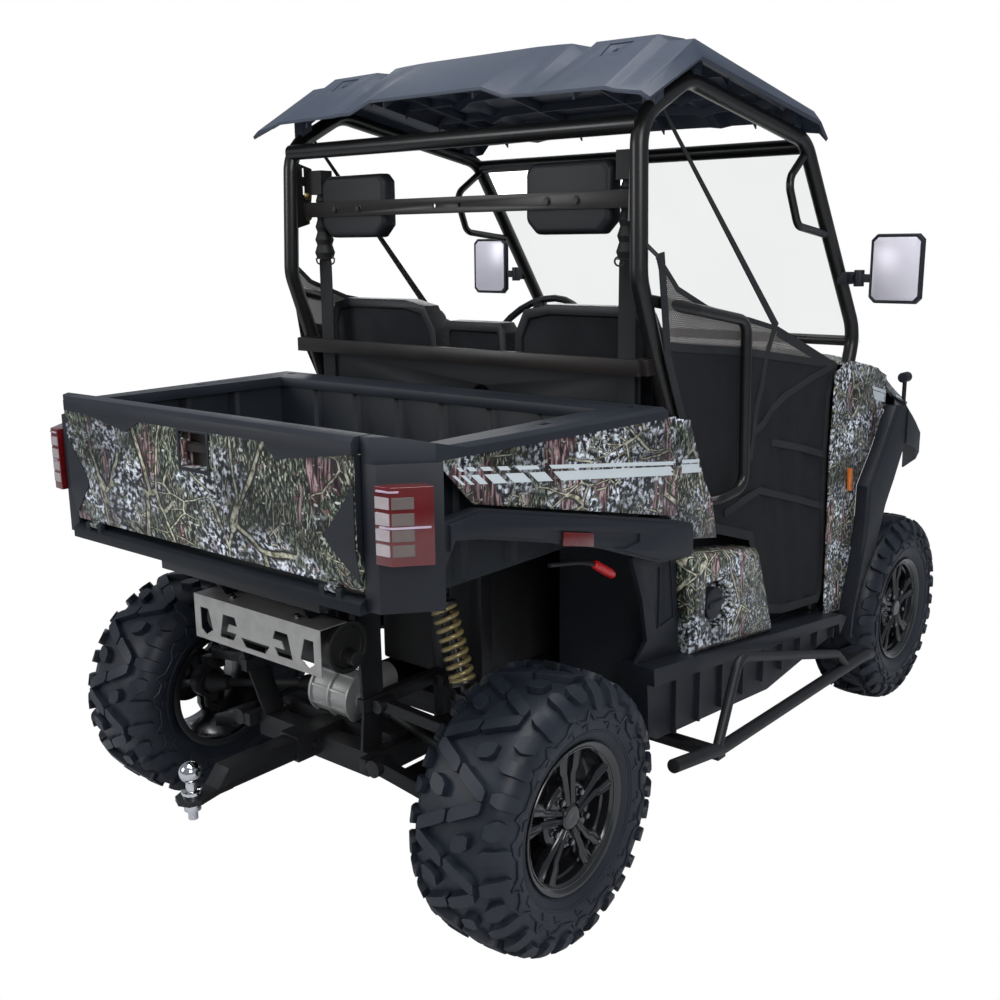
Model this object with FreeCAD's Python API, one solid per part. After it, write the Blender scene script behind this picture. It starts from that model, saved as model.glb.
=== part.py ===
import FreeCAD, Part
import math
import os

V = FreeCAD.Vector
os.makedirs("parts", exist_ok=True)

# Every length is in millimetres. Stations (x) count forward from the rear
# axle, y to the left from the middle plane, and z up from a datum plane that
# lies AXLE_Z below the axles. The whole is moved as it is written, so that the
# origin lies on the ground under the middle of the vehicle.

# Wheels
WHEELBASE = 1860.0
FRONT_AXLE = WHEELBASE
AXLE_Z = 315.0
TYRE_RADIUS = 315.0
REAR_WHEEL_Y = 612.0
FRONT_WHEEL_Y = 628.0
REAR_TYRE_WIDTH = 254.0
FRONT_TYRE_WIDTH = 203.0
BEAD_RADIUS = 152.0
FLANGE_HEIGHT = 18.0
FLANGE_WIDTH = 6.0
BARREL_WALL = 5.0
LUG_PITCHES = 14
LUG_WIDTH = 46.0
LUG_HEIGHT = 24.0
LUG_SLANT = 16.0
SPOKE_COUNT = 5
SPOKE_DEPTH = 16.0
SPOKE_RECESS = 6.0
WHEEL_CENTRE_RADIUS = 52.0
DISC_RADIUS = 92.0
DISC_THICKNESS = 5.0
STUB_RADIUS = 30.0

# Suspension and drive
BEARING_Y = 606.0
BEARING_GAP = 0.3
KNUCKLE_RADIUS = 46.0
KNUCKLE_INNER_Y = 562.0
REAR_ARM_UPPER_Z = 492.0
REAR_ARM_LOWER_Z = 345.0
REAR_ARM_INNER_X = 105.0
FRONT_ARM_INNER_X = 100.0
ARM_INNER_Y = 246.0
REAR_PIVOT_Y = 530.0
SHOCK_X = -24.0
SHOCK_LOWER_Y = 432.0
SHOCK_LOWER_Z = 528.0
REAR_SHOCK_UPPER_Y = 352.0
REAR_SHOCK_UPPER_Z = 765.0
FRONT_SHOCK_UPPER_Z = 742.0
SPRING_RADIUS = 29.0
GUARD_THICKNESS = 4.0
SPRING_COILS = 7
FINAL_DRIVE_RADIUS = 60.0
CASE_RIB = 6.0
BOOT_FOLDS = 5
BOOT_FOLD_DEPTH = 5.0
REAR_DRIVE_Z = 428.0
FRONT_DRIVE_Z = 452.0
DRIVE_HALF_WIDTH = 70.0
MUFFLER_X = -250.0
MUFFLER_Z = 682.0
MUFFLER_RADIUS = 56.0
MUFFLER_LEFT = 130.0
MUFFLER_RIGHT = -292.0

# Ends of the vehicle
TAIL_END = -510.0
NOSE_END = FRONT_AXLE + 410.0

# Lower frame
RAIL_Y = 200.0
RAIL_WIDTH = 40.0
RAIL_HEIGHT = 60.0
RAIL_BOTTOM = 300.0
RAIL_REAR = -60.0
RAIL_FRONT = FRONT_AXLE + 250.0
CROSS_WIDTH = 40.0
OUTRIGGER_STATIONS = (560.0, 1010.0, FRONT_AXLE - 460.0)
SKID_THICKNESS = 4.0

# Hitch
HITCH_Z = 345.0
HITCH_BEAM_X = -95.0
HITCH_BEAM_DEPTH = 50.0
HITCH_BEAM_REACH = 200.0
RECEIVER_OUTER = 64.0
RECEIVER_BORE = 51.0
RECEIVER_REAR = -190.0
SHANK = 50.0
BALL_RADIUS = 25.0
BALL_X = -473.0
BALL_Z = 387.0
BALL_PLATE_TOP = 330.0
BALL_PLATE_THICKNESS = 12.0
HITCH_PIN_X = -140.0
HITCH_PIN_RADIUS = 7.9
HITCH_PIN_HOLE = 8.3

# Upper rear frame and bed hinge
DECK_RAIL_Y = 262.0
DECK_RAIL_SIZE = 40.0
DECK_RAIL_TOP = 815.0
DECK_RAIL_REAR = -320.0
DECK_RAIL_FRONT = 545.0
BED_HINGE_X = -262.0
BED_HINGE_Z = 842.0
BED_HINGE_RADIUS = 10.0
HINGE_PLAY = 0.3

# Roll cage
TUBE_RADIUS = 21.0
CAGE_BEND = 110.0
POST_TOP = 1800.0
POST_X = 403.0
HOOP_TUBE_RADIUS = 14.0
HEAD_BAR_Z = 1628.0
HEAD_BAR_FRONT = 426.0
PLATE_THICKNESS = 6.0
SEAT_GAP = 0.3
NET_THICKNESS = 2.0
NET_GAP = 2.0
ACCESSORY_HOLE_Y = (52.0, -36.0)
ACCESSORY_HOLE_RADIUS = 5.5

# Cargo bed
GATE_HALF_WIDTH = 500.0
BED_INNER_HALF_WIDTH = GATE_HALF_WIDTH + 60.0
RAIL_MID_HALF = GATE_HALF_WIDTH + 112.0
RAIL_FRONT_HALF = GATE_HALF_WIDTH + 172.0
BED_FLOOR_BOTTOM = 862.0
BED_FLOOR_THICKNESS = 12.0
BED_WALL = 6.0
CHANNEL_DEPTH = 10.0
FLOOR_RIB = 5.0
RAIL_CHAMFER = 9.0
FENDER_CHAMFER = 10.0
FENDER_LIFT = 22.0
LINER_INSET = 17.0
LINER_THICKNESS = 12.0
FENDER_STEP = 8.0
FENDER_WALL = 26.0
GATE_BULGE = 8.0
GATE_BAND = 34.0
BED_INNER_FRONT = 300.0
RAIL_TOP = 1160.0
RAIL_THICKNESS = 26.0
RAIL_CORNER_X = -305.0
RAIL_FRONT_X = 419.0
GATE_TOP = 1184.0
GATE_BOTTOM = 883.0
GATE_THICKNESS = 40.0
GATE_HINGE_X = -404.0
GATE_HINGE_Z = 876.0
GATE_KNUCKLE = 7.0
GATE_PIN = 3.5
SKIN = 5.0
SEAM = 6.0

# Cab
FLOOR_TOP = 400.0
FLOOR_THICKNESS = 6.0
FLOOR_HALF_WIDTH = 590.0
CAGE_Y = FLOOR_HALF_WIDTH - 2.0
SIDE_Y = FLOOR_HALF_WIDTH + 65.0
SEAT_BACK_X = 505.0
SEAT_TOP = 1370.0
CUSHION_TOP = 930.0
SEAT_OUTER_Y = FLOOR_HALF_WIDTH - 24.0
SEAT_INNER_Y = 126.0
CENTRE_SEAT_HALF = 112.0
CUSHION_HEIGHT = 110.0
SEAT_LEAN = 0.061
SEAT_SHELL = 60.0
SEAT_PAD = 46.0
FENDER_WIDTH = 45.0
HOOD_WALL = 6.0
MASK_DEPTH = 95.0
MASK_BOTTOM = 520.0
BUMPER_TUBE = 18.0
SEAT_SIDE_Y = SIDE_Y + 25.0
STEP_Y = FLOOR_HALF_WIDTH + 174.0
FUEL_CAP_RADIUS = 42.0
PLATE_Y = CAGE_Y - 22.0
NET_Y = SIDE_Y - 15.0 - SEAT_GAP - NET_THICKNESS
BELT_X = 462.0
BELT_Y = CAGE_Y - 62.0
TOE_X = FRONT_AXLE - 396.0
NOSE_POST_TOP = 770.0

# Steering and front suspension
KINGPIN_Y = 545.0
ARM_DROP = 90.0
TIE_ROD_BACK = 90.0
TIE_ROD_RISE = 68.0
TIE_ROD_RADIUS = 7.0
RACK_PLAY = 0.3
STEERING_WHEEL_RADIUS = 178.0
COLUMN_TILT = 38.0
STEERING_CENTRE = V(FRONT_AXLE - 604.0, 370.0, 1204.0)

HALF_SHIFT = -(TAIL_END + NOSE_END) / 2.0


def box(x0, x1, y0, y1, z0, z1):
    return Part.makeBox(x1 - x0, y1 - y0, z1 - z0, V(x0, y0, z0))


def polygon(points):
    return Part.makePolygon(points + [points[0]])


def prism(points, along):
    return Part.Face(polygon(points)).extrude(along)


def side_plate(outline, y0, y1):
    """A plate with an outline of (x, z) points, from y0 to y1."""
    return prism([V(x, y0, z) for x, z in outline], V(0, y1 - y0, 0))


def cross_plate(outline, x0, x1):
    """A plate with an outline of (y, z) points, from x0 to x1."""
    return prism([V(x0, y, z) for y, z in outline], V(x1 - x0, 0, 0))


def flat_plate(outline, z0, z1):
    """A plate with an outline of (x, y) points, from z0 to z1."""
    return prism([V(x, y, z0) for x, y in outline], V(0, 0, z1 - z0))


def loft(*sections):
    return Part.makeLoft([polygon(list(s)) for s in sections], True, True)


def rod(start, end, radius):
    run = end - start
    return Part.makeCylinder(radius, run.Length, start, run)


def mirrored(shape):
    return shape.mirror(V(0, 0, 0), V(0, 1, 0))


def both(shape):
    """The left piece and its mirror image on the right."""
    return [shape, mirrored(shape)]


def fused(first, *others):
    return first.multiFuse(list(others)).removeSplitter() if others else first


def tube(points, radius, bend):
    """A round tube along straight runs joined by tangent bends."""
    edges = []
    here = points[0]
    for before, corner, after in zip(points, points[1:], points[2:]):
        back = (before - corner).normalize()
        ahead = (after - corner).normalize()
        half_turn = (math.pi - back.getAngle(ahead)) / 2.0
        reach = bend * math.tan(half_turn)
        start = corner + back * reach
        end = corner + ahead * reach
        inward = (back + ahead).normalize()
        middle = corner + inward * (bend / math.cos(half_turn) - bend)
        edges.append(Part.LineSegment(here, start).toShape())
        edges.append(Part.Arc(start, middle, end).toShape())
        here = end
    edges.append(Part.LineSegment(here, points[-1]).toShape())
    path = Part.Wire(edges)
    end_face = Part.Wire(Part.makeCircle(radius, points[0], points[1] - points[0]))
    return path.makePipeShell([end_face], True, False)


def box_bar(start, end, width, height):
    """A rectangular bar between two points, its width kept level."""
    run = (end - start).normalize()
    across = run.cross(V(0, 0, 1)).normalize()
    up = across.cross(run)
    corners = ((-1, -1), (1, -1), (1, 1), (-1, 1))
    outline = [start + across * (a * width / 2) + up * (b * height / 2) for a, b in corners]
    return prism(outline, end - start)


def ring(profile, sides, x, y, z):
    """A ring about a cross axis at (x, z), in flat sides, from (offset, radius) points."""
    def corner(point, k):
        turn = 2.0 * math.pi * (k + 0.5) / sides
        return V(x + point[1] * math.sin(turn), y + point[0], z - point[1] * math.cos(turn))
    faces = []
    for k in range(sides):
        for a, b in zip(profile, profile[1:] + profile[:1]):
            quad = [corner(a, k), corner(b, k), corner(b, k + 1), corner(a, k + 1)]
            faces.append(Part.Face(polygon(quad)))
    solid = Part.Solid(Part.Shell(faces))
    if solid.Volume < 0:
        solid.reverse()
    return solid


def disc(radius, sides, x, y0, y1, z):
    """A many-sided disc about a cross axis."""
    turns = [2.0 * math.pi * (k + 0.5) / sides for k in range(sides)]
    outline = [(x + radius * math.sin(t), z - radius * math.cos(t)) for t in turns]
    return side_plate(outline, y0, y1)


def save(name, *shapes):
    solids = []
    for shape in shapes:
        solids.extend(shape.Solids)
    whole = Part.Compound(solids) if len(solids) > 1 else solids[0].copy()
    whole.translate(V(HALF_SHIFT, 0, TYRE_RADIUS - AXLE_Z))
    whole.exportStep("parts/" + name + ".step")


# Wheels: all four are built on the left and mirrored to the right.

def bead_offset(width):
    return 0.40 * width


def tyre(x, y, width):
    half = width / 2.0
    bead = bead_offset(width)
    tread = TYRE_RADIUS - LUG_HEIGHT
    flank = BEAD_RADIUS + FLANGE_HEIGHT + 2.0
    outer = [(bead, BEAD_RADIUS), (bead, flank), (half - 3, 232),
             (0.93 * half, tread - 18), (0.70 * half, tread)]
    outer = outer + [(-dy, r) for dy, r in reversed(outer)]
    carcass = ring(outer, 2 * LUG_PITCHES, x, y, AXLE_Z)
    inner = [(bead - 12, BEAD_RADIUS - 1), (half - 17, 230), (0.60 * half, tread - 14)]
    inner = inner + [(-dy, r) for dy, r in reversed(inner)]
    cavity = ring(inner, LUG_PITCHES, x, y, AXLE_Z)
    lugs = []
    for side in (1, -1):
        for k in range(LUG_PITCHES):
            lugs.append(tread_lug(x, y, half, side, k))
    return carcass.multiFuse(lugs).cut(cavity)


def tread_lug(x, y, half, side, k):
    """One block of the tread, from near the middle over the shoulder."""
    tread = TYRE_RADIUS - LUG_HEIGHT
    outline = [(4, tread - 5), (4, TYRE_RADIUS), (0.72 * half, TYRE_RADIUS - 4),
               (0.98 * half, tread), (half, tread - 34), (0.80 * half, tread - 20)]
    start = [V(x - LUG_WIDTH / 2, y + side * dy, AXLE_Z - r) for dy, r in outline]
    lug = prism(start, V(LUG_WIDTH, 0, 0))
    lug.rotate(V(x, y, AXLE_Z), V(0, 0, 1), side * LUG_SLANT)
    pitch = 360.0 / LUG_PITCHES
    lug.rotate(V(x, y, AXLE_Z), V(0, 1, 0), pitch * (k + 0.25 + 0.25 * side))
    return lug


def rim(x, y, width, bearing_y):
    """The wheel with its hub and brake disc, as one turning piece."""
    bead = bead_offset(width)
    top = BEAD_RADIUS + FLANGE_HEIGHT
    inside = BEAD_RADIUS - BARREL_WALL
    lip = bead + FLANGE_WIDTH
    profile = [(lip, top), (bead, top), (bead, BEAD_RADIUS), (-bead, BEAD_RADIUS),
               (-bead, top), (-lip, top), (-lip, inside), (lip, inside)]
    barrel = ring(profile, 2 * LUG_PITCHES, x, y, AXLE_Z)
    face = y + bead - SPOKE_RECESS
    back = face - SPOKE_DEPTH - 6
    centre = disc(WHEEL_CENTRE_RADIUS, 2 * SPOKE_COUNT, x, back, face - 4, AXLE_Z)
    pieces = [centre]
    for k in range(SPOKE_COUNT):
        for side in (1, -1):
            pieces.append(spoke(x, face, inside, k, side))
    pieces.append(disc(STUB_RADIUS, 16, x, bearing_y, back, AXLE_Z))
    pieces.append(disc(WHEEL_CENTRE_RADIUS - 4, 16, x, back - 8, back, AXLE_Z))
    pieces.append(disc(DISC_RADIUS, 24, x, bearing_y + 24, bearing_y + 24 + DISC_THICKNESS, AXLE_Z))
    return fused(barrel, *pieces)


def spoke(x, face, reach, k, side):
    """Half of a forked spoke, from the wheel centre to the barrel."""
    root = WHEEL_CENTRE_RADIUS - 12
    tips = [(side * dx, math.sqrt((reach + 1) ** 2 - dx * dx)) for dx in (40, 22)]
    outline = [(side * 4, root), (side * 24, root)] + tips
    points = [V(x + dx, face, AXLE_Z + r) for dx, r in outline]
    bar = prism(points, V(0, -SPOKE_DEPTH, 0))
    bar.rotate(V(x, face, AXLE_Z), V(0, 1, 0), 360.0 * k / SPOKE_COUNT)
    return bar


def make_wheels():
    layout = (("rear", 0.0, REAR_WHEEL_Y, REAR_TYRE_WIDTH),
              ("front", FRONT_AXLE, FRONT_WHEEL_Y, FRONT_TYRE_WIDTH))
    for end, x, y, width in layout:
        wheel = rim(x, y, width, BEARING_Y)
        rubber = tyre(x, y, width)
        for side, turn in (("left", lambda s: s), ("right", mirrored)):
            save("tyre_" + end + "_" + side, turn(rubber))
            save("rim_" + end + "_" + side, turn(wheel))


# Suspension

def knuckle(x, pivot_y, drop):
    """The upright: a bearing housing with an eye above and below."""
    housing = rod(V(x, KNUCKLE_INNER_Y, AXLE_Z), V(x, BEARING_Y - BEARING_GAP, AXLE_Z), KNUCKLE_RADIUS)
    pieces = [housing]
    for side in (1, -1):
        outline = [(-18, 20), (18, 20), (14, drop - 12), (-14, drop - 12)]
        points = [V(x + dx, KNUCKLE_INNER_Y, AXLE_Z + side * dz) for dx, dz in outline]
        pieces.append(prism(points, V(0, 26, 0)))
        eye_z = AXLE_Z + side * (drop - 12)
        low = min(eye_z - side * 22, eye_z)
        pieces.append(box(x - 14, x + 14, pivot_y - 14, KNUCKLE_INNER_Y + 26, low, low + 22))
    bore = rod(V(x, KNUCKLE_INNER_Y - 1, AXLE_Z), V(x, KNUCKLE_INNER_Y + 30, AXLE_Z), 34)
    return fused(*pieces).cut(bore)


def steering_knuckle():
    upright = knuckle(FRONT_AXLE, KINGPIN_Y, ARM_DROP)
    arm_top = AXLE_Z + TIE_ROD_RISE - 9
    back = -TIE_ROD_BACK - 12
    outline = [(back, -37), (back, -13), (-20, 40), (12, 40), (12, 20), (-20, 17)]
    arm = flat_plate([(FRONT_AXLE + dx, KINGPIN_Y + dy) for dx, dy in outline], arm_top - 12, arm_top)
    return fused(upright, arm)


def a_arm(x, inner_x, inner_y, inner_z, outer, width, height):
    """A two-legged arm from its frame pivots to the upright's eye."""
    pieces = []
    for side in (1, -1):
        root = V(x + side * inner_x, inner_y, inner_z)
        tip = V(outer.x + side * 4, outer.y, outer.z)
        pieces.append(box_bar(root, tip, width, height))
        pieces.append(rod(V(root.x - 26, inner_y, inner_z), V(root.x + 26, inner_y, inner_z), height * 0.62))
    brace_y = inner_y + (outer.y - inner_y) * 0.42
    brace_z = inner_z + (outer.z - inner_z) * 0.42
    reach = inner_x * 0.58
    pieces.append(box_bar(V(x - reach, brace_y, brace_z), V(x + reach, brace_y, brace_z), 18, height * 0.8))
    pieces.append(rod(V(outer.x, outer.y, outer.z - 15), V(outer.x, outer.y, outer.z + 15), 16))
    return fused(*pieces)


def arm_pair(x, inner_x, pivot_y):
    top = V(x, pivot_y, AXLE_Z + ARM_DROP + 9)
    bottom = V(x, pivot_y, AXLE_Z - ARM_DROP - 14)
    upper = a_arm(x, inner_x, ARM_INNER_Y, REAR_ARM_UPPER_Z, top, 24, 26)
    lower = a_arm(x, inner_x + 20, ARM_INNER_Y, REAR_ARM_LOWER_Z, bottom, 30, 34)
    return upper, fused(lower, *arm_guard(x, inner_x + 20, bottom))


def arm_guard(x, inner_x, bottom):
    """The ribbed plate that shields the lower arm from below."""
    root = V(x, ARM_INNER_Y, REAR_ARM_LOWER_Z)
    run = bottom - root
    below = V(0, 0, -17)
    corners = []
    for share, reach in ((0.06, 1.02), (0.84, 0.30)):
        for side in (1, -1):
            corners.append(root + run * share + below + V(side * inner_x * reach, 0, 0))
    plate = prism([corners[0], corners[1], corners[3], corners[2]], V(0, 0, -GUARD_THICKNESS))
    ribs = []
    for share in (0.2, 0.4, 0.6):
        reach = inner_x * (1.02 - 0.92 * share) - 8
        at = root + run * share + below
        ribs.append(box(x - reach, x + reach, at.y - 4, at.y + 4, at.z - GUARD_THICKNESS - 6, at.z))
    return [plate] + ribs


def shock_axis(x, upper_z):
    low = V(x + SHOCK_X, SHOCK_LOWER_Y, SHOCK_LOWER_Z)
    high = V(x + SHOCK_X, REAR_SHOCK_UPPER_Y, upper_z)
    return low, high


def shock(x, upper_z):
    low, high = shock_axis(x, upper_z)
    run = (high - low).normalize()
    pieces = [rod(low + run * 10, high - run * 10, 11),
              rod(low + run * 34, low + run * 42, SPRING_RADIUS + 3),
              rod(high - run * 34, high - run * 26, SPRING_RADIUS + 3)]
    for eye in (low, high):
        pieces.append(rod(eye - V(16, 0, 0), eye + V(16, 0, 0), 15))
    return fused(*pieces)


def spring(x, upper_z):
    """The coil spring, as its rings one above another round the damper."""
    low, high = shock_axis(x, upper_z)
    run = (high - low).normalize()
    start = 42.3
    length = (high - low).Length - 34.3 - start
    profile = [V(13, 0, 0)]
    step = length / SPRING_COILS
    for k in range(SPRING_COILS):
        profile.append(V(SPRING_RADIUS - 8, 0, k * step))
        profile.append(V(SPRING_RADIUS, 0, (k + 0.5) * step))
    profile.append(V(SPRING_RADIUS - 8, 0, length))
    profile.append(V(13, 0, length))
    sleeve = Part.Face(polygon(profile)).revolve(V(0, 0, 0), V(0, 0, 1), 360)
    sleeve.Placement = FreeCAD.Placement(low + run * start, FreeCAD.Rotation(V(0, 0, 1), run))
    return sleeve


def boot(start, end, radius_start, radius_end):
    """A bellows about the line from start to end, in BOOT_FOLDS folds."""
    run = end - start
    step = run.Length / BOOT_FOLDS
    profile = [V(0, 0, 0), V(radius_start, 0, 0)]
    for k in range(BOOT_FOLDS):
        crest = radius_start + (radius_end - radius_start) * (k + 0.5) / BOOT_FOLDS
        profile.append(V(crest - BOOT_FOLD_DEPTH, 0, (k + 0.1) * step))
        profile.append(V(crest, 0, (k + 0.5) * step))
    profile.append(V(radius_end - BOOT_FOLD_DEPTH, 0, run.Length))
    profile.append(V(0, 0, run.Length))
    bellows = Part.Face(polygon(profile)).revolve(V(0, 0, 0), V(0, 0, 1), 360)
    bellows.Placement = FreeCAD.Placement(start, FreeCAD.Rotation(V(0, 0, 1), run))
    return bellows


def half_shaft(x, gear_y, gear_z, inner_end_y):
    """A drive shaft with a boot at the final drive and one at the hub."""
    start = V(x, gear_y, gear_z)
    joint = V(x, inner_end_y, AXLE_Z)
    run = (joint - start).normalize()
    pieces = [rod(start, joint - run * 20, 12)]
    for centre, way in ((start, 1), (joint, -1)):
        pieces.append(boot(centre + run * (way * 2), centre + run * (way * 78), 31, 19))
    return fused(*pieces)


def final_drive(x, z, radius, half_width, inward):
    """The ribbed gear case; its pinion neck points to the middle of the vehicle."""
    body = rod(V(x, -half_width, z), V(x, half_width, z), radius)
    neck = rod(V(x, 0, z), V(x + inward * 150, 0, z), radius * 0.6)
    ends = rod(V(x, -half_width - 22, z), V(x, half_width + 22, z), radius * 0.55)
    pieces = [neck, ends]
    for y in (-half_width, -4, half_width - 8):
        pieces.append(rod(V(x, y, z), V(x, y + 8, z), radius + CASE_RIB))
    for turn in range(0, 360, 45):
        rib = box(x - 3, x + 3, -half_width, half_width, z, z + radius + CASE_RIB - 2)
        rib.rotate(V(x, 0, z), V(0, 1, 0), turn + 22.5)
        pieces.append(rib)
    return fused(body, *pieces)


def shock_clevis(x, y, z, reach):
    """Two ears on either side of a damper's eye, reaching up or down."""
    low = min(z - 14, z - 14 + reach)
    high = max(z + 14, z + 14 + reach)
    ears = []
    for side in (1, -1):
        inner = x + side * 16
        outer = x + side * 23
        ears.append(box(min(inner, outer), max(inner, outer), y - 16, y + 16, low, high))
    return ears


def drives():
    """The rear and the front final drive."""
    return (final_drive(0.0, REAR_DRIVE_Z, FINAL_DRIVE_RADIUS, DRIVE_HALF_WIDTH, 1),
            final_drive(FRONT_AXLE, FRONT_DRIVE_Z, FINAL_DRIVE_RADIUS - 8, DRIVE_HALF_WIDTH, -1))


def make_suspension():
    arms = []
    dampers = []
    springs = []
    shafts = []
    layout = ((0.0, REAR_ARM_INNER_X, REAR_PIVOT_Y, REAR_SHOCK_UPPER_Z, REAR_DRIVE_Z),
              (FRONT_AXLE, FRONT_ARM_INNER_X, KINGPIN_Y, FRONT_SHOCK_UPPER_Z, FRONT_DRIVE_Z))
    for x, inner_x, pivot_y, upper_z, drive_z in layout:
        upper, lower = arm_pair(x, inner_x, pivot_y)
        low, high = shock_axis(x, upper_z)
        ears = shock_clevis(low.x, low.y, low.z, -70)
        arms.extend(both(fused(upper, *ears)) + both(lower))
        dampers.extend(both(shock(x, upper_z)))
        springs.extend(both(spring(x, upper_z)))
        shaft = half_shaft(x, DRIVE_HALF_WIDTH + 22, drive_z, KNUCKLE_INNER_Y - 4)
        shafts.extend(both(shaft.cut(drives()[0]).cut(drives()[1])))
    save("suspension_arms", *arms)
    save("shock_absorbers", *dampers)
    save("shock_springs", *springs)
    save("drive_shafts", *shafts)
    save("rear_uprights", *both(knuckle(0.0, REAR_PIVOT_Y, ARM_DROP)))
    save("front_knuckle_left", steering_knuckle())
    save("front_knuckle_right", mirrored(steering_knuckle()))
    save("final_drives", *drives())


# Frame

def make_frame():
    top = RAIL_BOTTOM + RAIL_HEIGHT
    half = RAIL_WIDTH / 2
    rail = box(RAIL_REAR, RAIL_FRONT, RAIL_Y - half, RAIL_Y + half, RAIL_BOTTOM, top)
    pieces = both(rail)
    reach = FLOOR_HALF_WIDTH
    for x in OUTRIGGER_STATIONS:
        near = x - CROSS_WIDTH / 2
        pieces.append(box(near, near + CROSS_WIDTH, -reach, reach, top, FLOOR_TOP - FLOOR_THICKNESS))
    for x in (250.0, FRONT_AXLE - 190, RAIL_FRONT - CROSS_WIDTH):
        pieces.append(box(x, x + CROSS_WIDTH, -RAIL_Y, RAIL_Y, RAIL_BOTTOM, top))
    pieces.append(box(260, RAIL_FRONT, -RAIL_Y, RAIL_Y, RAIL_BOTTOM, RAIL_BOTTOM + SKID_THICKNESS))
    rear_drive, front_drive = drives()
    cradle = box(-40, 40, -RAIL_Y, RAIL_Y, 330, REAR_DRIVE_Z - 50)
    pieces.append(cradle.cut(rear_drive))
    cradle = box(FRONT_AXLE - 40, FRONT_AXLE + 40, -RAIL_Y, RAIL_Y, 330, FRONT_DRIVE_Z - 50)
    pieces.append(cradle.cut(front_drive))
    pieces.append(rack_housing())
    lower = fused(*pieces)
    rear = fused(*(rear_frame() + muffler_straps())).cut(lower)
    front = fused(*front_frame()).cut(lower)
    save("main_frame", lower, rear, front)


def rear_frame():
    """Bed rails, the two bent plates down to the hitch beam, and the receiver."""
    top = RAIL_BOTTOM + RAIL_HEIGHT
    half = DECK_RAIL_SIZE / 2
    inner = DECK_RAIL_Y - half
    under = DECK_RAIL_TOP - DECK_RAIL_SIZE
    deck = box(DECK_RAIL_REAR, DECK_RAIL_FRONT, inner, DECK_RAIL_Y + half, under, DECK_RAIL_TOP)
    low = section_at(-110, -50, 160, 168, RAIL_BOTTOM)
    mid = section_at(-140, -76, 206, 214, 480)
    high = section_at(-200, -130, 258, 266, under)
    plate = fused(loft(low, mid), loft(mid, high))
    ear = side_plate([(BED_HINGE_X - 24, DECK_RAIL_TOP), (BED_HINGE_X + 24, DECK_RAIL_TOP),
                      (BED_HINGE_X + 9, BED_HINGE_Z + 10), (BED_HINGE_X - 9, BED_HINGE_Z + 10)],
                     DECK_RAIL_Y + 8, DECK_RAIL_Y + 16)
    pin = rod(V(BED_HINGE_X, DECK_RAIL_Y - 14, BED_HINGE_Z), V(BED_HINGE_X, DECK_RAIL_Y + 8, BED_HINGE_Z),
              BED_HINGE_RADIUS)
    upright = box(200, 240, inner, DECK_RAIL_Y + half, top - 20, under)
    knee = box(200, 240, RAIL_Y - 10, DECK_RAIL_Y, top - 20, top)
    post = box(118, 146, RAIL_Y - 8, ARM_INNER_Y - 22, RAIL_BOTTOM, under)
    head = box(118, 146, RAIL_Y - 8, inner + 5, under - 30, under)
    ears = shock_clevis(SHOCK_X, REAR_SHOCK_UPPER_Y, REAR_SHOCK_UPPER_Z, 30)
    shelf_low = REAR_SHOCK_UPPER_Z + 20
    shelf = box(SHOCK_X - 23, SHOCK_X + 23, DECK_RAIL_Y, REAR_SHOCK_UPPER_Y + 16, shelf_low, shelf_low + 24)
    left = [deck, plate, ear, pin, upright, knee, post, head, shelf] + ears
    for z in (REAR_ARM_UPPER_Z, REAR_ARM_LOWER_Z):
        left.append(box(-150, 150, ARM_INNER_Y - 44, ARM_INNER_Y - 22, z - 16, z + 16))
    pieces = []
    for piece in left:
        pieces.extend(both(piece))
    for x in (DECK_RAIL_REAR, 20.0, DECK_RAIL_FRONT - DECK_RAIL_SIZE):
        pieces.append(box(x, x + DECK_RAIL_SIZE, -DECK_RAIL_Y, DECK_RAIL_Y, under, DECK_RAIL_TOP))
    return pieces + [hitch_beam()]


def section_at(x0, x1, y0, y1, z):
    return [V(x0, y0, z), V(x1, y0, z), V(x1, y1, z), V(x0, y1, z)]


def hitch_beam():
    """The cross beam with its square receiver and the hole for the pin."""
    half = HITCH_BEAM_DEPTH / 2
    top = RAIL_BOTTOM + RAIL_HEIGHT
    reach = HITCH_BEAM_REACH
    beam = box(HITCH_BEAM_X - half, HITCH_BEAM_X + half, -reach, reach, RAIL_BOTTOM, top)
    joint = box(HITCH_BEAM_X + half, RAIL_REAR + 1, 180, 200, RAIL_BOTTOM, top)
    wide = RECEIVER_OUTER / 2
    fine = RECEIVER_BORE / 2
    receiver = box(RECEIVER_REAR, -45, -wide, wide, HITCH_Z - wide, HITCH_Z + wide)
    bore = box(RECEIVER_REAR - 1, -60, -fine, fine, HITCH_Z - fine, HITCH_Z + fine)
    hole = rod(V(HITCH_PIN_X, -wide - 1, HITCH_Z), V(HITCH_PIN_X, wide + 1, HITCH_Z), HITCH_PIN_HOLE)
    return fused(beam, receiver, *both(joint)).cut(bore).cut(hole)


def rack_housing():
    x = FRONT_AXLE - TIE_ROD_BACK
    z = AXLE_Z + TIE_ROD_RISE
    housing = rod(V(x, -150, z), V(x, 150, z), 22)
    foot = box(x - 16, x + 16, -40, 40, RAIL_BOTTOM, z - 10)
    bore = rod(V(x, -151, z), V(x, 151, z), TIE_ROD_RADIUS + RACK_PLAY)
    return fused(housing, foot).cut(bore)


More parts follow.
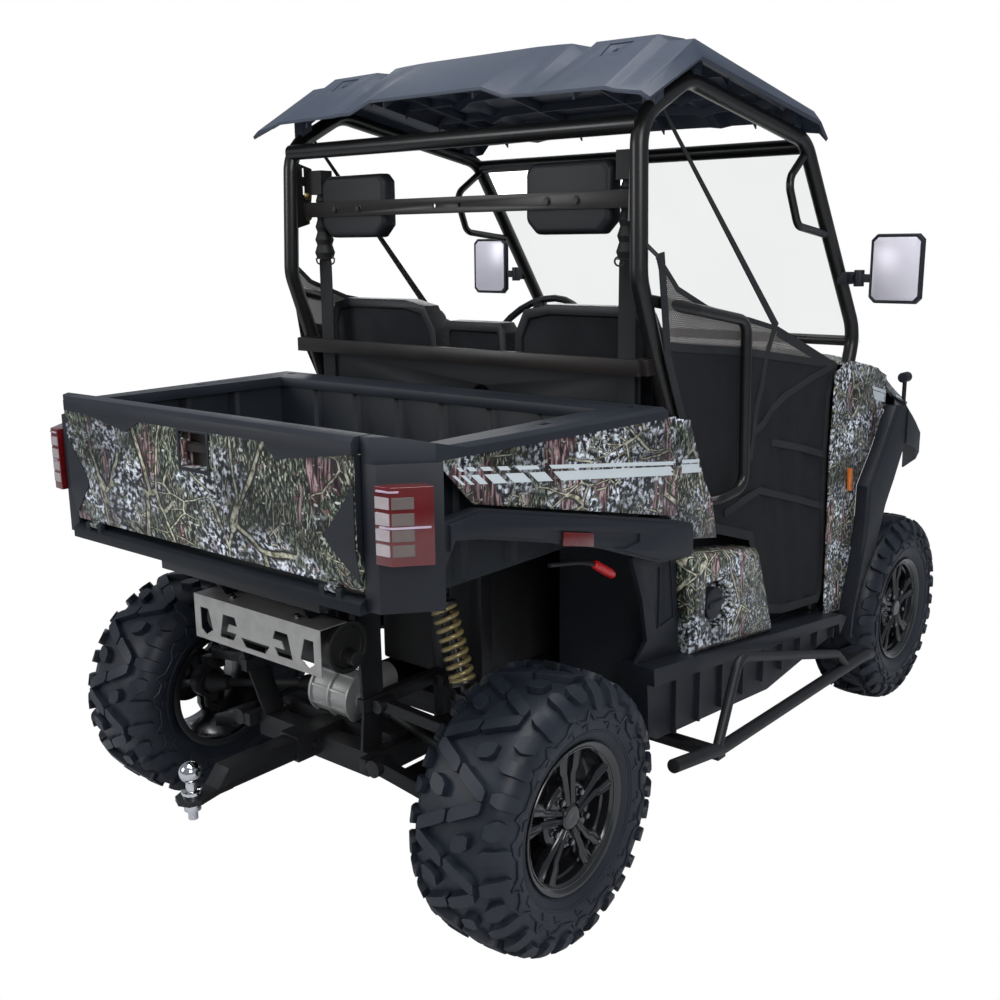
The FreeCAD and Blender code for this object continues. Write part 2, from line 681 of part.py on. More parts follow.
def muffler_barrel():
    """The silencer's round body with its rolled end rings."""
    rim = MUFFLER_RADIUS + 3
    profile = []
    for end, way in ((MUFFLER_RIGHT, 1), (MUFFLER_LEFT, -1)):
        ring_points = [(0, 10), (rim - 14, 10), (rim - 10, 0), (rim, 0), (rim, 12), (MUFFLER_RADIUS, 14)]
        points = [V(r, end + way * depth, 0) for r, depth in ring_points]
        profile.extend(points if way > 0 else list(reversed(points)))
    barrel = Part.Face(polygon(profile)).revolve(V(0, 0, 0), V(0, 1, 0), 360)
    barrel.translate(V(MUFFLER_X, 0, MUFFLER_Z))
    return barrel


def muffler_straps():
    """Two hangers from the rear cross member down to the silencer."""
    under = DECK_RAIL_TOP - DECK_RAIL_SIZE
    outline = [(-316, under + 1), (-284, under + 1), (-236, 700), (-272, 700)]
    straps = []
    for y in (-222, 64):
        straps.append(side_plate(outline, y, y + 4).cut(muffler_barrel()))
    return straps


def front_frame():
    top = RAIL_BOTTOM + RAIL_HEIGHT
    upper = FRONT_SHOCK_UPPER_Z + 44
    inner = ARM_INNER_Y - 22
    pieces = []
    for x in (FRONT_AXLE - 150, FRONT_AXLE + 122):
        leg = box(x, x + 28, RAIL_Y - 8, inner, top - 10, upper)
        pieces.extend(both(leg))
        pieces.append(box(x, x + 28, -RAIL_Y, RAIL_Y, upper - 28, upper))
    for z in (REAR_ARM_UPPER_Z, REAR_ARM_LOWER_Z):
        pivot = box(FRONT_AXLE - 150, FRONT_AXLE + 150, inner - 22, inner, z - 16, z + 16)
        pieces.extend(both(pivot))
    x = FRONT_AXLE + SHOCK_X
    hanger = box(FRONT_AXLE - 150, FRONT_AXLE + 150, inner - 28, inner, upper - 28, upper)
    ears = shock_clevis(x, REAR_SHOCK_UPPER_Y, FRONT_SHOCK_UPPER_Z, 30)
    ledge = box(x - 23, x + 23, inner - 10, REAR_SHOCK_UPPER_Y + 16, upper - 24, upper)
    for piece in [hanger, ledge] + ears:
        pieces.extend(both(piece))
    nose_post = box(RAIL_FRONT - 40, RAIL_FRONT, RAIL_Y - 20, RAIL_Y + 20, top, NOSE_POST_TOP)
    pieces.extend(both(nose_post))
    pieces.append(box(RAIL_FRONT - 40, RAIL_FRONT, -RAIL_Y, RAIL_Y, NOSE_POST_TOP - 40, NOSE_POST_TOP))
    return pieces


def make_hitch():
    half = SHANK / 2
    seat_z = HITCH_Z - (RECEIVER_BORE - SHANK) / 2
    plate_bottom = BALL_PLATE_TOP - BALL_PLATE_THICKNESS
    shank = box(-386, -64, -half, half, seat_z - half, seat_z + half)
    drop = side_plate([(-386, seat_z + half), (-378, seat_z + half), (-378, plate_bottom),
                       (-420, plate_bottom), (-420, BALL_PLATE_TOP)], -half, half)
    cheek = BALL_X - 26.2
    outline = [(-415, -half), (-415, half), (BALL_X, 37), (cheek, 26.2), (TAIL_END, 0),
               (cheek, -26.2), (BALL_X, -37)]
    plate = flat_plate(outline, plate_bottom, BALL_PLATE_TOP)
    pin = rod(V(HITCH_PIN_X, -48, HITCH_Z), V(HITCH_PIN_X, 48, HITCH_Z), HITCH_PIN_RADIUS)
    save("ball_mount", fused(shank, drop, plate, pin))
    neck = rod(V(BALL_X, 0, BALL_PLATE_TOP), V(BALL_X, 0, BALL_Z), 12)
    collar = rod(V(BALL_X, 0, BALL_PLATE_TOP), V(BALL_X, 0, BALL_PLATE_TOP + 14), 23)
    nut = rod(V(BALL_X, 0, plate_bottom - 22), V(BALL_X, 0, plate_bottom), 19)
    shaft = rod(V(BALL_X, 0, plate_bottom - 44), V(BALL_X, 0, plate_bottom - 22), 11)
    ball = Part.makeSphere(BALL_RADIUS, V(BALL_X, 0, BALL_Z))
    save("tow_ball", fused(neck, collar, ball), fused(nut, shaft))


# Roll cage and what it carries

def cage_side():
    """Rear post, arched roof rail and front pillar of one side."""
    y = CAGE_Y
    f = FRONT_AXLE
    return [V(590, y, FLOOR_TOP + 4), V(600, y + 24, 920), V(395, y + 12, 1449), V(POST_X, y, POST_TOP),
            V(600, y + 2, 1902), V(f - 635, y + 6, 1798), V(f - 235, y + 9, 1250), V(f - 360, y + 12, 900),
            V(f - 440, y, FLOOR_TOP + 4)]


def cage_tube(clearance=0.0):
    return tube(cage_side(), TUBE_RADIUS + clearance, CAGE_BEND)


def clear_of_cage(shape, clearance=1.0):
    """What is left of a shape outside the two side tubes."""
    side = cage_tube(clearance)
    return shape.cut(side).cut(mirrored(side))


def post_plate():
    """The welded plate inside the rear post that carries the headrest bar and the belt."""
    outline = [(POST_X - 6, 1578), (POST_X + 40, 1590), (POST_X + 56, 1690), (POST_X + 56, 1745),
               (POST_X, 1760)]
    plate = side_plate(outline, PLATE_Y, PLATE_Y + PLATE_THICKNESS)
    y0, y1 = PLATE_Y - 1, PLATE_Y + PLATE_THICKNESS + 1
    for z in (1672, 1722):
        plate = plate.cut(box(POST_X + 20, POST_X + 30, y0, y1, z, z + 24))
    return plate


def make_cage():
    side = cage_tube()
    y = CAGE_Y
    f = FRONT_AXLE
    rear_z = POST_TOP - 12
    rear_bar = rod(V(POST_X, -y, rear_z), V(POST_X, y, rear_z), TUBE_RADIUS)
    front_bar = rod(V(f - 624, -y - 6, 1784), V(f - 624, y + 6, 1784), TUBE_RADIUS)
    dash_bar = rod(V(f - 248, -y - 9, 1225), V(f - 248, y + 9, 1225), 16)
    handle = tube([V(f - 619, y + 4, 1768), V(f - 738, y + 12, 1690), V(f - 680, y + 18, 1570),
                   V(f - 488, y + 10, 1548)], 11, 40)
    feet = []
    for x in (590, f - 442):
        feet.extend(both(box(x - 36, x + 36, y - 27, FLOOR_HALF_WIDTH, FLOOR_TOP, FLOOR_TOP + 10)))
    parts = both(handle) + feet + both(post_plate())
    save("roll_cage", fused(side, mirrored(side), rear_bar, front_bar, dash_bar, *parts))
    low_bar = box(402, 420, -y - 8, y + 8, 1226, 1264)
    stub = box(419, 480, y - 18, y + 22, 1226, 1264).cut(side)
    rear_stub = min(stub.Solids, key=lambda s: s.CenterOfMass.x)
    head_bar = box(420, 426, -PLATE_Y, PLATE_Y, HEAD_BAR_Z - 20, HEAD_BAR_Z + 21)
    for hole_y in ACCESSORY_HOLE_Y:
        hole = rod(V(419, hole_y, HEAD_BAR_Z), V(427, hole_y, HEAD_BAR_Z), ACCESSORY_HOLE_RADIUS)
        head_bar = head_bar.cut(hole)
    save("seat_bars", fused(low_bar, *both(rear_stub)), head_bar)


def hoop_tube(clearance=0.0):
    y = CAGE_Y
    path = [V(418, y + 16, 1402), V(560, y + 67, 1374), V(795, y + 76, 1335), V(812, y + 76, 905),
            V(705, y + 67, 890), V(660, y + 26, 880), V(598, y + 24, 880)]
    return tube(path, HOOP_TUBE_RADIUS + clearance, 45)


def make_hoops():
    hoop = hoop_tube().cut(cage_tube())
    save("side_hoops", *both(max(hoop.Solids, key=lambda s: s.Volume)))


def cut_corner(half_width, half_height, low_cut, high_cut):
    """A rectangle about the origin with its lower and upper corners cut."""
    w = half_width
    h = half_height
    return [(-w + low_cut, -h), (w - low_cut, -h), (w, -h + low_cut), (w, h - high_cut),
            (w - high_cut, h), (-w + high_cut, h), (-w, h - high_cut), (-w, -h + low_cut)]


def pillow(x_sizes, y, z, low_cut, high_cut):
    """A block across the vehicle from (x, half width, half height) sections."""
    sections = []
    for x, half_width, half_height in x_sizes:
        outline = cut_corner(half_width, half_height, low_cut, high_cut)
        sections.append([V(x, y + dy, z + dz) for dy, dz in outline])
    return loft(*sections)


def make_headrests():
    start = HEAD_BAR_FRONT + SEAT_GAP
    sections = ((start, 118, 76), (start + 10, 126, 84), (start + 44, 128, 85), (start + 58, 112, 70))
    save("headrests", *both(pillow(sections, 370.0, 1635.0, 30, 18)))


# Roof: one moulded shell whose crest is near its rear third

ROOF_WALL = 8.0
ROOF_RIB = 30.0
ROOF_RIB_THICKNESS = 4.0
ROOF_POCKET_DEPTH = 4.0
ROOF_HOLE_RADIUS = 8.0
ROOF_STATIONS = (330.0, 545.0, 660.0, FRONT_AXLE - 684.0, FRONT_AXLE - 636.0)
ROOF_HALF_COLUMNS = (0.0, 190.0, 262.0, 300.0, 337.0, 372.0, 545.0, 572.0, 640.0, 662.0)
ROOF_HEIGHTS = (
    (1893, 1893, 1868, 1868, 1866, 1866, 1864, 1856, 1846, 1832),
    (2006, 2006, 2004, 2002, 1976, 1998, 1996, 1978, 1976, 1936),
    (2010, 2010, 2008, 2004, 1978, 2002, 2000, 1962, 1956, 1918),
    (1905, 1905, 1903, 1902, 1890, 1900, 1899, 1874, 1868, 1840),
    (1862, 1862, 1861, 1860, 1855, 1860, 1858, 1830, 1822, 1800),
)


def roof_section(x, heights, top_drop, bottom_drop):
    upper = [V(x, y, h - top_drop) for y, h in zip(ROOF_HALF_COLUMNS, heights)]
    top = list(reversed(upper)) + [V(p.x, -p.y, p.z) for p in upper[1:]]
    under = [V(p.x, p.y * 0.992, p.z + top_drop - bottom_drop) for p in reversed(top)]
    return top + under


def roof_layer(top_drop, bottom_drop):
    sections = []
    for x, heights in zip(ROOF_STATIONS, ROOF_HEIGHTS):
        sections.append(roof_section(x, heights, top_drop, bottom_drop))
    return loft(*sections)


def roof_ribs():
    """Stiffening ribs lengthways and across under the shell."""
    layer = roof_layer(ROOF_WALL - 1, ROOF_RIB)
    half = ROOF_RIB_THICKNESS / 2
    ribs = []
    start, end = ROOF_STATIONS[0] + 15, ROOF_STATIONS[-1] - 10
    for y in (-450, -150, 150, 450):
        ribs.append(layer.common(box(start, end, y - half, y + half, 1700, 2100)))
    for x in (450, 570, 700, 850, 1000, 1120):
        ribs.append(layer.common(box(x - half, x + half, -560, 560, 1700, 2100)))
    return ribs


def roof_pocket():
    """The sunk seat on the rear slope of a block, with its hole."""
    x, y = 500.0, 458.0
    rise = (ROOF_HEIGHTS[1][5] - ROOF_HEIGHTS[0][5]) / (ROOF_STATIONS[1] - ROOF_STATIONS[0])
    z = ROOF_HEIGHTS[0][5] + rise * (x - ROOF_STATIONS[0])
    outline = [(-36, -26), (30, -34), (30, 34), (-36, 26)]
    seat = flat_plate(outline, -ROOF_POCKET_DEPTH, 20)
    seat.rotate(V(0, 0, 0), V(0, 1, 0), -math.degrees(math.atan(rise)))
    seat.translate(V(x, y, z))
    return fused(seat, rod(V(x, y, z - 20), V(x, y, z + 10), ROOF_HOLE_RADIUS))


def make_roof():
    shell = roof_layer(0, ROOF_WALL)
    side = cage_tube()
    pads = []
    for x, z in ((455, 1826), (620, 1900), (FRONT_AXLE - 710, 1822)):
        block = box(x - 18, x + 18, CAGE_Y - 15, CAGE_Y + 19, z, z + 150).cut(side).cut(shell)
        pads.append(min(block.Solids, key=lambda s: s.CenterOfMass.z))
    for pocket in both(roof_pocket()):
        shell = shell.cut(pocket)
    save("roof", fused(shell, *roof_ribs()), *(pads + [mirrored(p) for p in pads]))


def make_windscreen():
    lower = V(FRONT_AXLE - 181.5, 0, 1213.3)
    upper = V(FRONT_AXLE - 606.3, 0, 1795.3)
    across = V(0, CAGE_Y + 10, 0)
    pane = [lower - across, lower + across, upper + across, upper - across]
    save("windscreen", prism(pane, V(3.3, 0, 2.3)))


def make_mirrors():
    x = FRONT_AXLE - 370.0
    y = CAGE_Y + 180.0
    z = 1448.0
    shell = pillow(((x, 76, 98), (x + 16, 78, 100), (x + 38, 58, 78)), y, z, 16, 16)
    socket = pillow(((x - 1, 70, 92), (x + 3, 70, 92)), y, z, 14, 14)
    stem = box(x + 8, x + 24, CAGE_Y + 18, y - 60, z - 40, z - 16)
    hinge = rod(V(x + 16, CAGE_Y + 66, z - 52), V(x + 16, CAGE_Y + 66, z - 4), 15)
    clamp = box(x - 16, x + 40, CAGE_Y + 11, CAGE_Y + 42, z - 46, z - 10)
    arm = fused(stem, hinge, clamp).cut(cage_tube())
    arm = max(arm.Solids, key=lambda s: s.CenterOfMass.y)
    save("mirror_housings", *both(fused(shell, arm).cut(socket)))
    glass = pillow(((x - 0.5, 68, 90), (x + 3, 68, 90)), y, z, 13, 13)
    save("mirror_glasses", *both(glass))


# Belts and nets

def make_belts():
    """A reel on the post plate, its bellows, and the webbing down behind the seat."""
    x, y = BELT_X, BELT_Y
    reel = box(x - 24, x + 18, y - 22, PLATE_Y, 1672, 1738)
    sleeve = boot(V(x, y, 1491), V(x, y, 1673), 30, 20)
    web = box(x - 1, x + 1, y - 24, y + 24, 1110, 1492)
    save("seat_belts", *both(fused(reel, sleeve, web)))


def net_outline():
    """The net's border from the rear post to the front cowl and the sill."""
    f = FRONT_AXLE
    return [(412, 1505), (504, 1429), (642, 1379), (869, 1337), (1023, 1306), (f - 439, 1172),
            (f - 484, 1072), (f - 484, 900), (f - 479, 770), (f - 456, 623), (f - 463, 480),
            (f - 492, 446), (1124, 474), (1022, 500), (914, 706), (902, 738), (700, 800),
            (560, 1040), (520, 1120), (452, 1262)]


def make_nets():
    """Each doorway's net and the long strap that holds its middle to the roof rail."""
    y = NET_Y
    sheet = side_plate(net_outline(), y, y + NET_THICKNESS)
    sheet = sheet.cut(hoop_tube(NET_GAP)).cut(cage_tube(0.5))
    sheet = max(sheet.Solids, key=lambda s: s.Volume)
    strap = box_bar(V(486, CAGE_Y + 2, 1838), V(1023, y - 4, 1304), 3, 24).cut(cage_tube(0.3))
    strap = min(strap.Solids, key=lambda s: s.CenterOfMass.z)
    save("side_nets", *both(sheet), *both(strap))


# Cargo bed

def channelled(length_from, length_to, channels, wall, depth):
    """The plan outline, along and across, of a wall with outward channels."""
    near = [(length_from, 0.0)]
    for at in channels:
        near.extend([(at - 20, 0.0), (at - 12, depth), (at + 12, depth), (at + 20, 0.0)])
    near.append((length_to, 0.0))
    return near + [(along, across + wall) for along, across in reversed(near)]


def make_bed():
    inner = BED_INNER_HALF_WIDTH
    outer = inner + BED_WALL
    gate = GATE_HALF_WIDTH
    floor_top = BED_FLOOR_BOTTOM + BED_FLOOR_THICKNESS
    rail_bottom = RAIL_TOP - RAIL_THICKNESS
    floor_half = [(-352, gate), (-300, outer), (330, outer)]
    floor = flat_plate(floor_half + [(x, -y) for x, y in reversed(floor_half)], BED_FLOOR_BOTTOM, floor_top)
    plan = channelled(-300, BED_INNER_FRONT, (-190, -30, 130), BED_WALL, CHANNEL_DEPTH)
    wall = flat_plate([(x, inner + y) for x, y in plan], floor_top, rail_bottom)
    corner = flat_plate([(-300, inner), (-300, outer), (-352, gate), (-352, gate - 8)],
                        floor_top, rail_bottom)
    plan = channelled(-outer, outer, (-400, -240, -80, 80, 240, 400), BED_WALL, CHANNEL_DEPTH)
    front = flat_plate([(BED_INNER_FRONT + x, y) for y, x in plan], floor_top, rail_bottom)
    ribs = []
    for k in range(-4, 5):
        y = k * inner / 5.0
        ribs.append(box(-330, BED_INNER_FRONT, y - 16, y + 16, floor_top, floor_top + FLOOR_RIB))
    left = DECK_RAIL_Y - 18
    right = DECK_RAIL_Y + 4
    bearer = box(BED_HINGE_X, 320, left, right, BED_FLOOR_BOTTOM - 30, BED_FLOOR_BOTTOM)
    bearing = rod(V(BED_HINGE_X, left, BED_HINGE_Z), V(BED_HINGE_X, right, BED_HINGE_Z), 19)
    bore = rod(V(BED_HINGE_X, left - 2, BED_HINGE_Z), V(BED_HINGE_X, right + 4, BED_HINGE_Z),
               BED_HINGE_RADIUS + HINGE_PLAY)
    hinge = fused(bearer, bearing).cut(bore)
    lip = side_plate([(-412, 838), (-352, 838), (-352, BED_FLOOR_BOTTOM), (-340, BED_FLOOR_BOTTOM),
                      (-352, floor_top), (-400, 868), (-412, 860)], -gate - SEAM, gate + SEAM)
    pieces = [front, lip] + ribs + both(wall) + both(corner) + both(hinge) + gate_hinge_fixed()
    save("bed_tub", fused(floor, *pieces))
    make_bed_rail()
    make_bed_sides()
    make_tailgate()


def slot(x, y, length, width, z0, z1):
    half = (length - width) / 2.0
    ends = [rod(V(x + s * half, y, z0), V(x + s * half, y, z1), width / 2.0) for s in (1, -1)]
    return fused(box(x - half, x + half, y - width / 2, y + width / 2, z0, z1), *ends)


def make_bed_rail():
    """The thick moulded rim, open at the rear where the tailgate closes it."""
    inner = BED_INNER_HALF_WIDTH - 4
    gate = GATE_HALF_WIDTH + SEAM
    under = RAIL_TOP - RAIL_THICKNESS
    outline = [(-396, gate), (-396, gate + 24), (RAIL_CORNER_X, RAIL_MID_HALF),
               (RAIL_FRONT_X, RAIL_FRONT_HALF), (RAIL_FRONT_X, 0), (BED_INNER_FRONT - 4, 0),
               (BED_INNER_FRONT - 4, inner), (-300, inner), (-346, gate)]
    left = flat_plate(outline, under, RAIL_TOP)
    rise = side_plate([(-396, RAIL_TOP), (-396, GATE_TOP), (-366, GATE_TOP), (-262, RAIL_TOP)],
                      gate, RAIL_FRONT_HALF)
    rise = rise.common(flat_plate(outline, under, GATE_TOP))
    whole = fused(left, mirrored(left), *both(rise))
    outer_top = [e for e in whole.Edges if rail_rim_edge(e)]
    whole = whole.makeChamfer(RAIL_CHAMFER, outer_top)
    for x, y in ((-308, inner + 27), (50, inner + 40), (378, inner + 45)):
        for hole in both(slot(x, y, 34, 14, under - 1, RAIL_TOP + 30)):
            whole = whole.cut(hole)
    save("bed_rail", whole)


def rail_rim_edge(edge):
    """The long outer top edge of each side of the rim."""
    ends = [v.Point for v in edge.Vertexes]
    level = all(abs(p.z - RAIL_TOP) < 0.01 for p in ends)
    return level and all(abs(p.y) > RAIL_MID_HALF - 0.01 for p in ends)


def side_skin_outline():
    return [(-299.9, RAIL_TOP - RAIL_THICKNESS), (-207, 1036), (462, 893), (453, RAIL_TOP - RAIL_THICKNESS)]


def flare_y(x, lift):
    slope = (RAIL_FRONT_HALF - RAIL_MID_HALF) / (RAIL_FRONT_X - RAIL_CORNER_X)
    return RAIL_MID_HALF + lift + slope * (x - RAIL_CORNER_X)


def flared_plate(outline, lift, thickness):
    """A plate with an (x, z) outline, parallel to the bed's flared side."""
    points = [V(x, flare_y(x, lift), z) for x, z in outline]
    return prism(points, V(0, -thickness, 0))


def gate_knuckle(y0, y1, web_low, web_high, x0, x1):
    barrel = rod(V(GATE_HINGE_X, y0, GATE_HINGE_Z), V(GATE_HINGE_X, y1, GATE_HINGE_Z), GATE_KNUCKLE)
    return fused(barrel, box(x0, x1, y0, y1, web_low, web_high))


def gate_hinge_fixed():
    """The outer knuckles and the pins of the tailgate's two hinges."""
    y = GATE_HALF_WIDTH - 80
    pieces = []
    for y0, y1 in ((y - 32, y - 16), (y + 16, y + 32)):
        pieces.append(gate_knuckle(y0, y1, 858, GATE_HINGE_Z, GATE_HINGE_X - 6, GATE_HINGE_X + 6))
    pieces.append(rod(V(GATE_HINGE_X, y - 20, GATE_HINGE_Z), V(GATE_HINGE_X, y + 20, GATE_HINGE_Z), GATE_PIN))
    return both(fused(*pieces))


def gate_hinge_moving():
    y = GATE_HALF_WIDTH - 80
    x = GATE_HINGE_X
    knuckle_piece = gate_knuckle(y - 15, y + 15, GATE_HINGE_Z, GATE_BOTTOM + 6, x, x + 20)
    bore = rod(V(x, y - 16, GATE_HINGE_Z), V(x, y + 16, GATE_HINGE_Z), GATE_PIN + HINGE_PLAY)
    return both(knuckle_piece.cut(bore))


def make_bed_sides():
    rail_bottom = RAIL_TOP - RAIL_THICKNESS
    inner = BED_INNER_HALF_WIDTH
    gate = GATE_HALF_WIDTH + SEAM
    skin = flared_plate(side_skin_outline(), -4, SKIN)
    save("bed_side_panels", *both(skin))
    arch = [(-300, 1020), (-207, 1030), (455, 887), (505, 872), (505, 790), (371, 800), (240, 848),
            (164, 876), (-9, 923), (-202, 968), (-273, 978), (-300, 930)]
    base_lift = FENDER_LIFT - FENDER_STEP
    trim = flared_plate(arch, base_lift, FENDER_WALL)
    raised = Part.Face(polygon([V(x, flare_y(x, base_lift), z) for x, z in arch])).makeOffset2D(-FENDER_STEP)
    trim = fused(trim, raised.extrude(V(0, FENDER_STEP, 0)))
    seat = [(-40, 958), (290, 888), (290, 868), (240, 862), (-40, 921)]
    trim = trim.cut(flared_plate(seat, FENDER_LIFT + 8, 14))
    outline = [(-396, gate), (-396, gate + 39), (-330, inner + 40), (-300, inner + 66), (-300, inner + 26),
               (-330, inner), (-352, gate)]
    corner = flat_plate(outline, 845, rail_bottom)
    save("rear_fenders", *both(fused(trim, corner)))
    lamp = flat_plate([(-386, gate + 44), (-408, gate + 44), (-404, gate + 82), (-342, gate + 134),
                       (-328, gate + 90)], 948, 1098)
    lamp = lamp.cut(corner)
    save("tail_lamps", *both(max(lamp.Solids, key=lambda s: s.Volume)))
    reflector = [(30, 909), (128, 888), (128, 919), (30, 940)]
    save("reflectors", *both(flared_plate(reflector, FENDER_LIFT, 5.7)))


def make_tailgate():
    x0 = GATE_HINGE_X
    half = GATE_HALF_WIDTH
    inner_x = x0 + GATE_THICKNESS
    face = x0 - GATE_BULGE
    band = GATE_TOP - GATE_BAND
    core = side_plate([(x0 + 6, GATE_BOTTOM), (inner_x, GATE_BOTTOM), (inner_x, band), (face, band),
                       (face, GATE_BOTTOM + 82), (face + 2, GATE_BOTTOM + 70)], -half, half)
    recess = box(face - 1, x0 + 26, -54, 40, 1067, 1145)
    save("tailgate", fused(core.cut(recess), *gate_hinge_moving()))
    cap = side_plate([(face - 2, band), (inner_x, band), (inner_x, GATE_TOP), (face + 6, GATE_TOP),
                      (face - 2, GATE_TOP - 10)], -half, half)
    pieces = [cap]
    accents = (((half - 83, band), (half - 258, band - 27), (half - 312, band)),
               ((-half + 254, band), (-half + 222, band - 32), (-half + 12, band)))
    for accent in accents:
        pieces.append(cross_plate(list(accent), face - 2.5, face))
    bezel = cross_plate([(-62, 1059), (48, 1059), (48, band), (-62, band)], face - 2.5, face)
    pieces.append(bezel.cut(recess))
    save("gate_trim", fused(*pieces))


# Cab

def make_floor():
    bottom = FLOOR_TOP - FLOOR_THICKNESS
    half = FLOOR_HALF_WIDTH
    floor = box(480, TOE_X, -half, half, bottom, FLOOR_TOP)
    toe = box(TOE_X, TOE_X + FLOOR_THICKNESS, -half, half, bottom, 1180)
    save("floor_pan", fused(floor, clear_of_cage(toe)))


def leaning(outline, offset, thickness, cut=0.0):
    """A plate across the cab, leaning like the seat backs, from (y, z) points."""
    points = [V(SEAT_BACK_X + offset + (SEAT_TOP - z) * SEAT_LEAN, y, z) for y, z in outline]
    face = Part.Face(polygon(points))
    if cut:
        face = face.makeOffset2D(-cut)
    return face.extrude(V(thickness, 0, 0))


def make_seats():
    base = CUSHION_TOP - CUSHION_HEIGHT
    shelf_z = base + 10
    half = SEAT_OUTER_Y - 6
    rear = SEAT_BACK_X + 55
    seat_box = box(rear, 990, -half, half, FLOOR_TOP, base)
    engine_room = box(rear - 20, 960, -330, 330, FLOOR_TOP - 1, base - 8)
    wall = box(470, 474, -half, half, shelf_z, 1226)
    port = rod(V(469, -60, 1130), V(475, -60, 1130), 34)
    shelf = box(474, rear, -half, half, shelf_z, shelf_z + 4)
    riser = box(rear - 4, rear, -half, half, base, shelf_z + 4)
    save("seat_base", fused(seat_box.cut(engine_room), wall.cut(port), shelf, riser))
    low = shelf_z + 4 + SEAT_GAP
    outer = SEAT_OUTER_Y
    inner = SEAT_INNER_Y
    top = SEAT_TOP
    side_back = [(inner, low), (outer, low), (outer, top - 62), (outer - 24, top - 6), (outer - 80, top + 8),
                 (inner + 127, top + 8), (inner + 50, top - 8), (inner + 16, top - 72)]
    mid = CENTRE_SEAT_HALF
    centre_back = [(-mid, low), (mid, low), (mid, top - 70), (mid - 16, top - 45), (16 - mid, top - 45),
                   (-mid, top - 70)]
    cushions = []
    backs = []
    for outline, y0, y1 in ((side_back, inner, outer), (centre_back, -mid, mid)):
        shell = leaning(outline, 0, SEAT_SHELL)
        shell = shell.cut(leaning(outline, -1, 7, 26))
        pad = leaning(outline, SEAT_SHELL + SEAT_GAP, SEAT_PAD, 10)
        base_pad = side_plate([(650, base + SEAT_GAP), (1010, base + SEAT_GAP), (1030, CUSHION_TOP - 40),
                               (1000, CUSHION_TOP), (650, CUSHION_TOP - 25)], y0, y1)
        if y0 > 0:
            backs.extend(both(shell))
            cushions.extend(both(pad) + both(base_pad))
        else:
            backs.append(shell)
            cushions.extend([pad, base_pad])
    save("seat_cushions", *cushions)
    save("seat_backs", *backs)


def rim_edges(solid, y, least):
    """The edges, of a least length, that bound the solid's face at y."""
    edges = [e for e in solid.Edges if e.Length > least]
    return [e for e in edges if all(abs(v.Point.y - y) < 0.01 for v in e.Vertexes)]


def around_wheel(points):
    """Points (x, z) near the front wheel, from degrees behind its top and the gap over the tyre."""
    outline = []
    for degrees, gap in points:
        turn = math.radians(degrees)
        reach = TYRE_RADIUS + gap
        outline.append((FRONT_AXLE - reach * math.sin(turn), AXLE_Z + reach * math.cos(turn)))
    return outline


# The line where the front cowl meets the fender, from the shoulder to the sill
COWL_LINE = ((6.9, 387.0), (18.4, 280.5), (31.2, 228.8), (38.6, 140.5), (51.0, 74.0), (65.0, 51.5),
             (78.3, 55.0), (90.8, 57.0))
# The wheel arch's own edge, from its top to the sill
ARCH_LINE = ((1.1, 238.0), (10.0, 146.0), (20.0, 89.5), (34.4, 18.5), (50.4, 22.5), (61.2, 27.5),
             (70.8, 34.5), (77.9, 43.0), (90.8, 45.0))


def make_panels():
    f = FRONT_AXLE
    half = FLOOR_HALF_WIDTH - 20
    dash = side_plate([(TOE_X, 900), (TOE_X, 1190), (TOE_X - 54, 1180), (TOE_X - 84, 1110),
                       (TOE_X - 74, 960)], -half, half)
    dash = dash.cut(box(TOE_X - 90, TOE_X - 20, -half + 70, -half + 330, 985, 1085))
    hood = side_plate([(TOE_X - 70, 1170), (TOE_X - 62, 1214), (TOE_X - 10, 1200), (TOE_X - 2, 1180)],
                      STEERING_CENTRE.y - 110, STEERING_CENTRE.y + 110)
    hood = hood.cut(box(TOE_X - 80, TOE_X - 58, STEERING_CENTRE.y - 96, STEERING_CENTRE.y + 96, 1176, 1203))
    start = STEERING_CENTRE - steering_axis() * 23
    column = rod(start, start - steering_axis() * 190, 24)
    save("dashboard", fused(dash, hood, column))
    line = around_wheel(COWL_LINE)
    cowl = side_plate([(f - 475, rocker_top(f - 475)), (f - 494, 900), (f - 482, 1150), (f - 388, 1178),
                       (f - 218, 1150), (f - 90, 1108)] + line[:7] + [(f - 425, 400)], SIDE_Y - SKIN, SIDE_Y)
    save("front_cowls", *both(cowl))
    make_front_fenders(line, make_nose())
    save("side_markers", *both(side_plate([(f - 358, 776), (f - 330, 770), (f - 334, 842), (f - 362, 848)],
                                          SIDE_Y, SIDE_Y + 8)))


